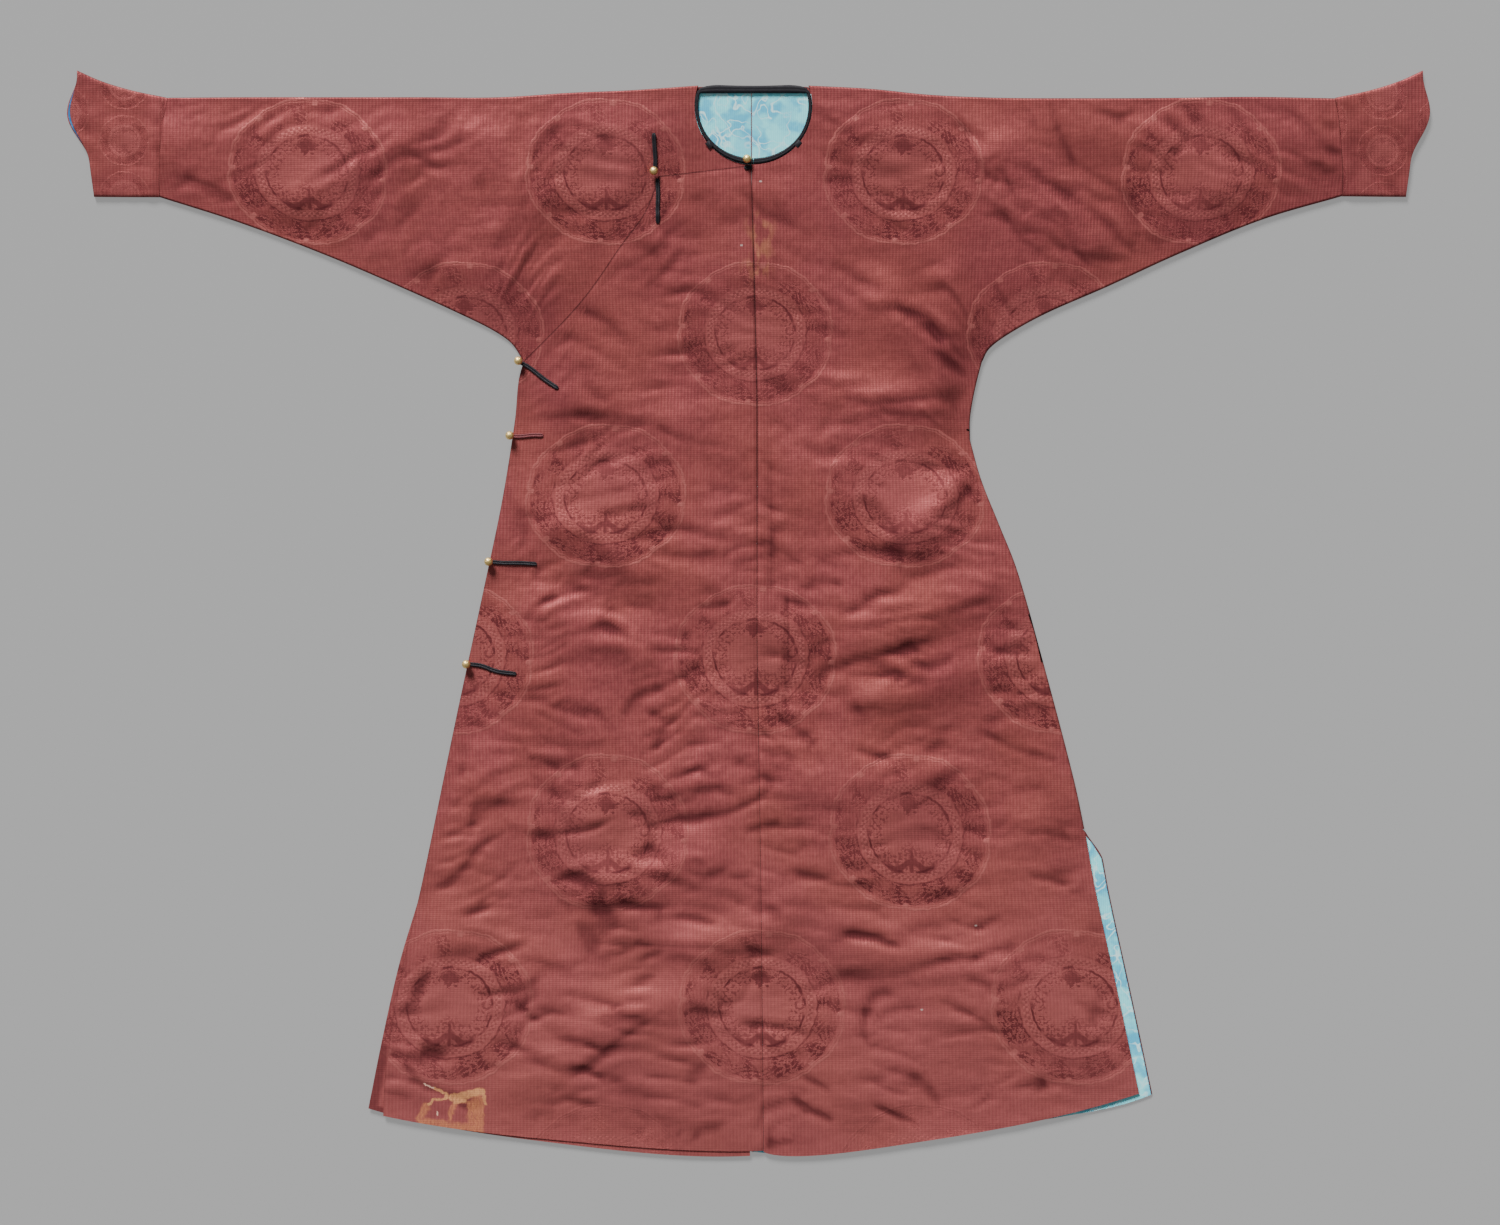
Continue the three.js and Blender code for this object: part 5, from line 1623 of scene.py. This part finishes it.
class ROBE_OT_binding(bpy.types.Operator):
    """Black satin binding round the neck, with its small overlapping tabs"""

    bl_idname = "robe.binding"
    bl_label = "Neck binding"

    def execute(self, context):
        points, faces = tube(binding_rings())
        tab = ((-3.4, 0), (-3.0, 0.9), (0, 1.1), (3.0, 0.9), (3.4, 0), (3.0, -0.9), (-3.0, -0.9))
        for turn in (math.radians(-138.5), math.radians(-40.5)):
            out = np.array([math.cos(turn), math.sin(turn)])
            along = np.array([-math.sin(turn), math.cos(turn)])
            x, y = np.array([NECK_X, NECK_Y]) + out * 78.6
            rings = []
            for share in np.linspace(0, 1, 9):
                lift = 0.5 * math.sin(math.pi * share) + 0.1
                centre = np.array([x, y]) + along * (share - 0.5) * 9
                rings.append([(*(centre + out * s), 6.75 + lift * h) for s, h in tab])
            more, extra = tube(np.array(rings))
            faces += [[i + len(points) for i in face] for face in extra]
            points = np.vstack([points, more])
        obj = make_object("robe_neck_binding", points, faces)
        outwards(obj)
        finish_piece(obj, "binding_satin", black_satin(), "neck_binding")
        return {"FINISHED"}


def cloth_top(x, y):
    """Top of the visible cloth at a few points."""
    line = np.array(OVERLAP_NECK[:-1] + OVERLAP_SIDE)[::-1]
    above = y > np.interp(x, line[:, 0], line[:, 1])
    return np.where(above & (x < 0), under_height(x, y)[0], front_height(x, y)[0])


class ROBE_OT_loops(bpy.types.Operator):
    """Rolled loop strips that hold the buttons"""

    bl_idname = "robe.loops"
    bl_label = "Loops"

    def execute(self, context):
        colours = context.scene.robe_colours
        black = black_satin()
        red = satin_material("red_strip", tuple(colours.silk_dark), tuple(colours.silk))
        left = [(-0.5, 0.3), (-0.47, 0.7), (-0.36, 0.97), (-0.2, 1), (-0.07, 0.82)]
        right = [(-u, w) for u, w in reversed(left)]
        profile = left + [(0, 0.7)] + right + [(0.4, 0), (-0.4, 0)]
        for name, *grid in LOOPS:
            line = from_grid(grid)
            count = max(14, int(np.linalg.norm(line[-1] - line[0]) / 1.6))
            path = run_through(line, np.linspace(0, 1, count))
            ahead = np.gradient(path, axis=0)
            ahead /= np.linalg.norm(ahead, axis=1)[:, None]
            side = np.column_stack([-ahead[:, 1], ahead[:, 0]])
            cover = [cloth_top(*(path + side * s).T) for s in (-3, 0, 3)]
            base = np.max(cover, axis=0) + 0.3
            base[:2] = np.maximum(base[:2], base[:2].max())
            ends = np.minimum(np.arange(len(path)), np.arange(len(path))[::-1])
            taper = np.where(ends == 0, 0.62, np.where(ends == 1, 0.9, 1.0))
            rings = np.zeros((len(path), len(profile), 3))
            for j, (u, w) in enumerate(profile):
                rings[:, j, :2] = path + side * (u * LOOP_WIDTH * taper)[:, None]
                rings[:, j, 2] = base + w * LOOP_THICK * taper
            stitch = 0.12 * np.sin(np.arange(len(path)) * 2.1)
            rings[:, 4:7, 2] += stitch[:, None]
            points, faces = tube(rings)
            obj = make_object(f"robe_{name}", points, faces)
            outwards(obj)
            slot, material = ("binding_satin", black) if name != RED_LOOP else ("robe_silk", red)
            finish_piece(obj, slot, material, name)
        return {"FINISHED"}


def select_faces(obj, chosen):
    """Leaves edit mode on these faces only."""
    bpy.ops.object.mode_set(mode="OBJECT")
    for face in obj.data.polygons:
        face.select = chosen(face.center)
    bpy.ops.object.mode_set(mode="EDIT")


def ball_button(radius, shank):
    """A gilt ball with raised petals and a beaded band, on a short shank."""
    bpy.ops.object.select_all(action="DESELECT")
    bpy.ops.mesh.primitive_uv_sphere_add(segments=32, ring_count=20, radius=radius * 0.96)
    ball = bpy.context.object
    bpy.ops.object.mode_set(mode="EDIT")
    bpy.ops.mesh.select_mode(type="FACE")
    petal = lambda c: math.cos(8 * math.atan2(c.y, c.x)) > 0
    select_faces(ball, lambda c: petal(c) and 0.2 * radius < c.z < 0.88 * radius)
    bpy.ops.mesh.inset(thickness=radius * 0.04, depth=radius * 0.035)
    select_faces(ball, lambda c: not petal(c) and -0.88 * radius < c.z < -0.2 * radius)
    bpy.ops.mesh.inset(thickness=radius * 0.04, depth=radius * 0.035)
    select_faces(ball, lambda c: abs(c.z) < 0.12 * radius)
    bpy.ops.mesh.inset(thickness=radius * 0.05, depth=radius * 0.03, use_individual=True)
    bpy.ops.mesh.select_all(action="SELECT")
    bpy.ops.transform.resize(value=(1, 1, 0.93), center_override=(0, 0, 0))
    bpy.ops.object.mode_set(mode="OBJECT")
    round_off = ball.modifiers.new("round", "SUBSURF")
    round_off.levels = round_off.render_levels = 1
    bpy.ops.object.modifier_apply(modifier=round_off.name)
    bpy.ops.mesh.primitive_cylinder_add(
        vertices=20, radius=radius * 0.26, depth=shank, location=(0, 0, -radius * 0.9 - shank / 2)
    )
    stem = bpy.context.object
    bpy.ops.object.mode_set(mode="EDIT")
    bpy.ops.mesh.select_all(action="SELECT")
    bpy.ops.mesh.bevel(offset=radius * 0.05, segments=2)
    bpy.ops.object.mode_set(mode="OBJECT")
    only(ball)
    stem.select_set(True)
    bpy.ops.object.join()
    bpy.ops.object.shade_smooth_by_angle(angle=math.radians(50))
    return ball


class ROBE_OT_buttons(bpy.types.Operator):
    """Six small gilt ball buttons, chased with petals"""

    bl_idname = "robe.buttons"
    bl_label = "Buttons"

    def execute(self, context):
        material = gilt_material()
        radius = context.scene.robe_sizes.button
        model, made = None, []
        for name, _, _ in BUTTONS:
            low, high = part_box(name)
            x, y = (low[0] + high[0]) / 2, (low[1] + high[1]) / 2
            middle = Vector((x, y, high[2] - radius * 0.9))
            if model is None:
                obj = model = ball_button(radius, 0.7 * MM)
                start = Vector((0, 0, 0))
            else:
                obj = model.copy()
                obj.data = model.data.copy()
                context.scene.collection.objects.link(obj)
                start = first
            only(obj)
            bpy.ops.object.mode_set(mode="EDIT")
            bpy.ops.mesh.select_all(action="SELECT")
            bpy.ops.transform.translate(value=middle - start)
            bpy.ops.object.mode_set(mode="OBJECT")
            if obj is model:
                first = middle
            obj.name = f"robe_{name}"
            made.append((obj, name))
        for obj, name in made:
            finish_piece(obj, "gilt_metal", material, name)
        return {"FINISHED"}


class ROBE_OT_stage(bpy.types.Operator):
    """Plain pale floor, soft light from above the neck, and the camera"""

    bl_idname = "robe.stage"
    bl_label = "Floor, light and camera"

    def execute(self, context):
        scene = context.scene
        bpy.ops.object.select_all(action="DESELECT")
        bpy.ops.mesh.primitive_plane_add(size=14, location=(0, 0, -0.0006))
        floor = bpy.context.object
        floor.name = "floor"
        bpy.ops.object.transform_apply(location=True)
        material, g, shader = new_material("floor")
        place = g.place()
        tone = tuple(scene.robe_colours.ground)
        grain = g.noise(place, 3.0, 2.0)
        tone = g.mix(g.times(grain, 0.04), tone, (0.165, 0.165, 0.165, 1))
        g.put(shader.inputs["Base Color"], tone)
        g.put(shader.inputs["Emission Color"], tone)
        shader.inputs["Emission Strength"].default_value = 1.82
        shader.inputs["Roughness"].default_value = 0.9
        floor.data.materials.append(material)

        world = bpy.data.worlds.new("studio")
        scene.world = world
        world.use_nodes = True
        sky = world.node_tree.nodes["Background"].inputs
        sky["Color"].default_value = (0.95, 0.97, 1.0, 1)
        sky["Strength"].default_value = 0.22
        bpy.ops.object.light_add(type="SUN", location=(-1.0, 3.0, 1.9))
        key = bpy.context.object
        key.name = "key"
        key.data.energy = 6.35
        key.data.angle = math.radians(20)
        key.rotation_euler = (-key.location).to_track_quat("-Z", "Y").to_euler()

        camera = bpy.data.cameras.new("camera")
        camera.lens, camera.sensor_width = LENS, SENSOR
        holder = bpy.data.objects.new("camera", camera)
        scene.collection.objects.link(holder)
        holder.location = (0.0023, 0.0016, FIELD * LENS / SENSOR)
        scene.camera = holder
        return {"FINISHED"}


STEPS = ("halves", "overlap", "cuffs", "linings", "binding", "loops", "buttons", "stage")


class ROBE_PT_panel(bpy.types.Panel):
    """Sizes, colours and steps of the robe"""

    bl_idname = "ROBE_PT_panel"
    bl_label = "Silk robe"
    bl_space_type = "VIEW_3D"
    bl_region_type = "UI"
    bl_category = "Silk robe"

    def draw(self, context):
        column = self.layout.column()
        for group in (context.scene.robe_sizes, context.scene.robe_colours):
            for name in group.__annotations__:
                column.prop(group, name)
        for step in STEPS:
            column.operator(f"robe.{step}")


CLASSES = (
    RobeSizes,
    RobeColours,
    ROBE_OT_halves,
    ROBE_OT_overlap,
    ROBE_OT_cuffs,
    ROBE_OT_linings,
    ROBE_OT_binding,
    ROBE_OT_loops,
    ROBE_OT_buttons,
    ROBE_OT_stage,
    ROBE_PT_panel,
)


def register():
    for item in CLASSES:
        bpy.utils.register_class(item)
    bpy.types.Scene.robe_sizes = PointerProperty(type=RobeSizes)
    bpy.types.Scene.robe_colours = PointerProperty(type=RobeColours)


def unregister():
    del bpy.types.Scene.robe_colours
    del bpy.types.Scene.robe_sizes
    for item in reversed(CLASSES):
        bpy.utils.unregister_class(item)


def main():
    register()
    for step in STEPS:
        getattr(bpy.ops.robe, step)()


if __name__ == "__main__":
    main()
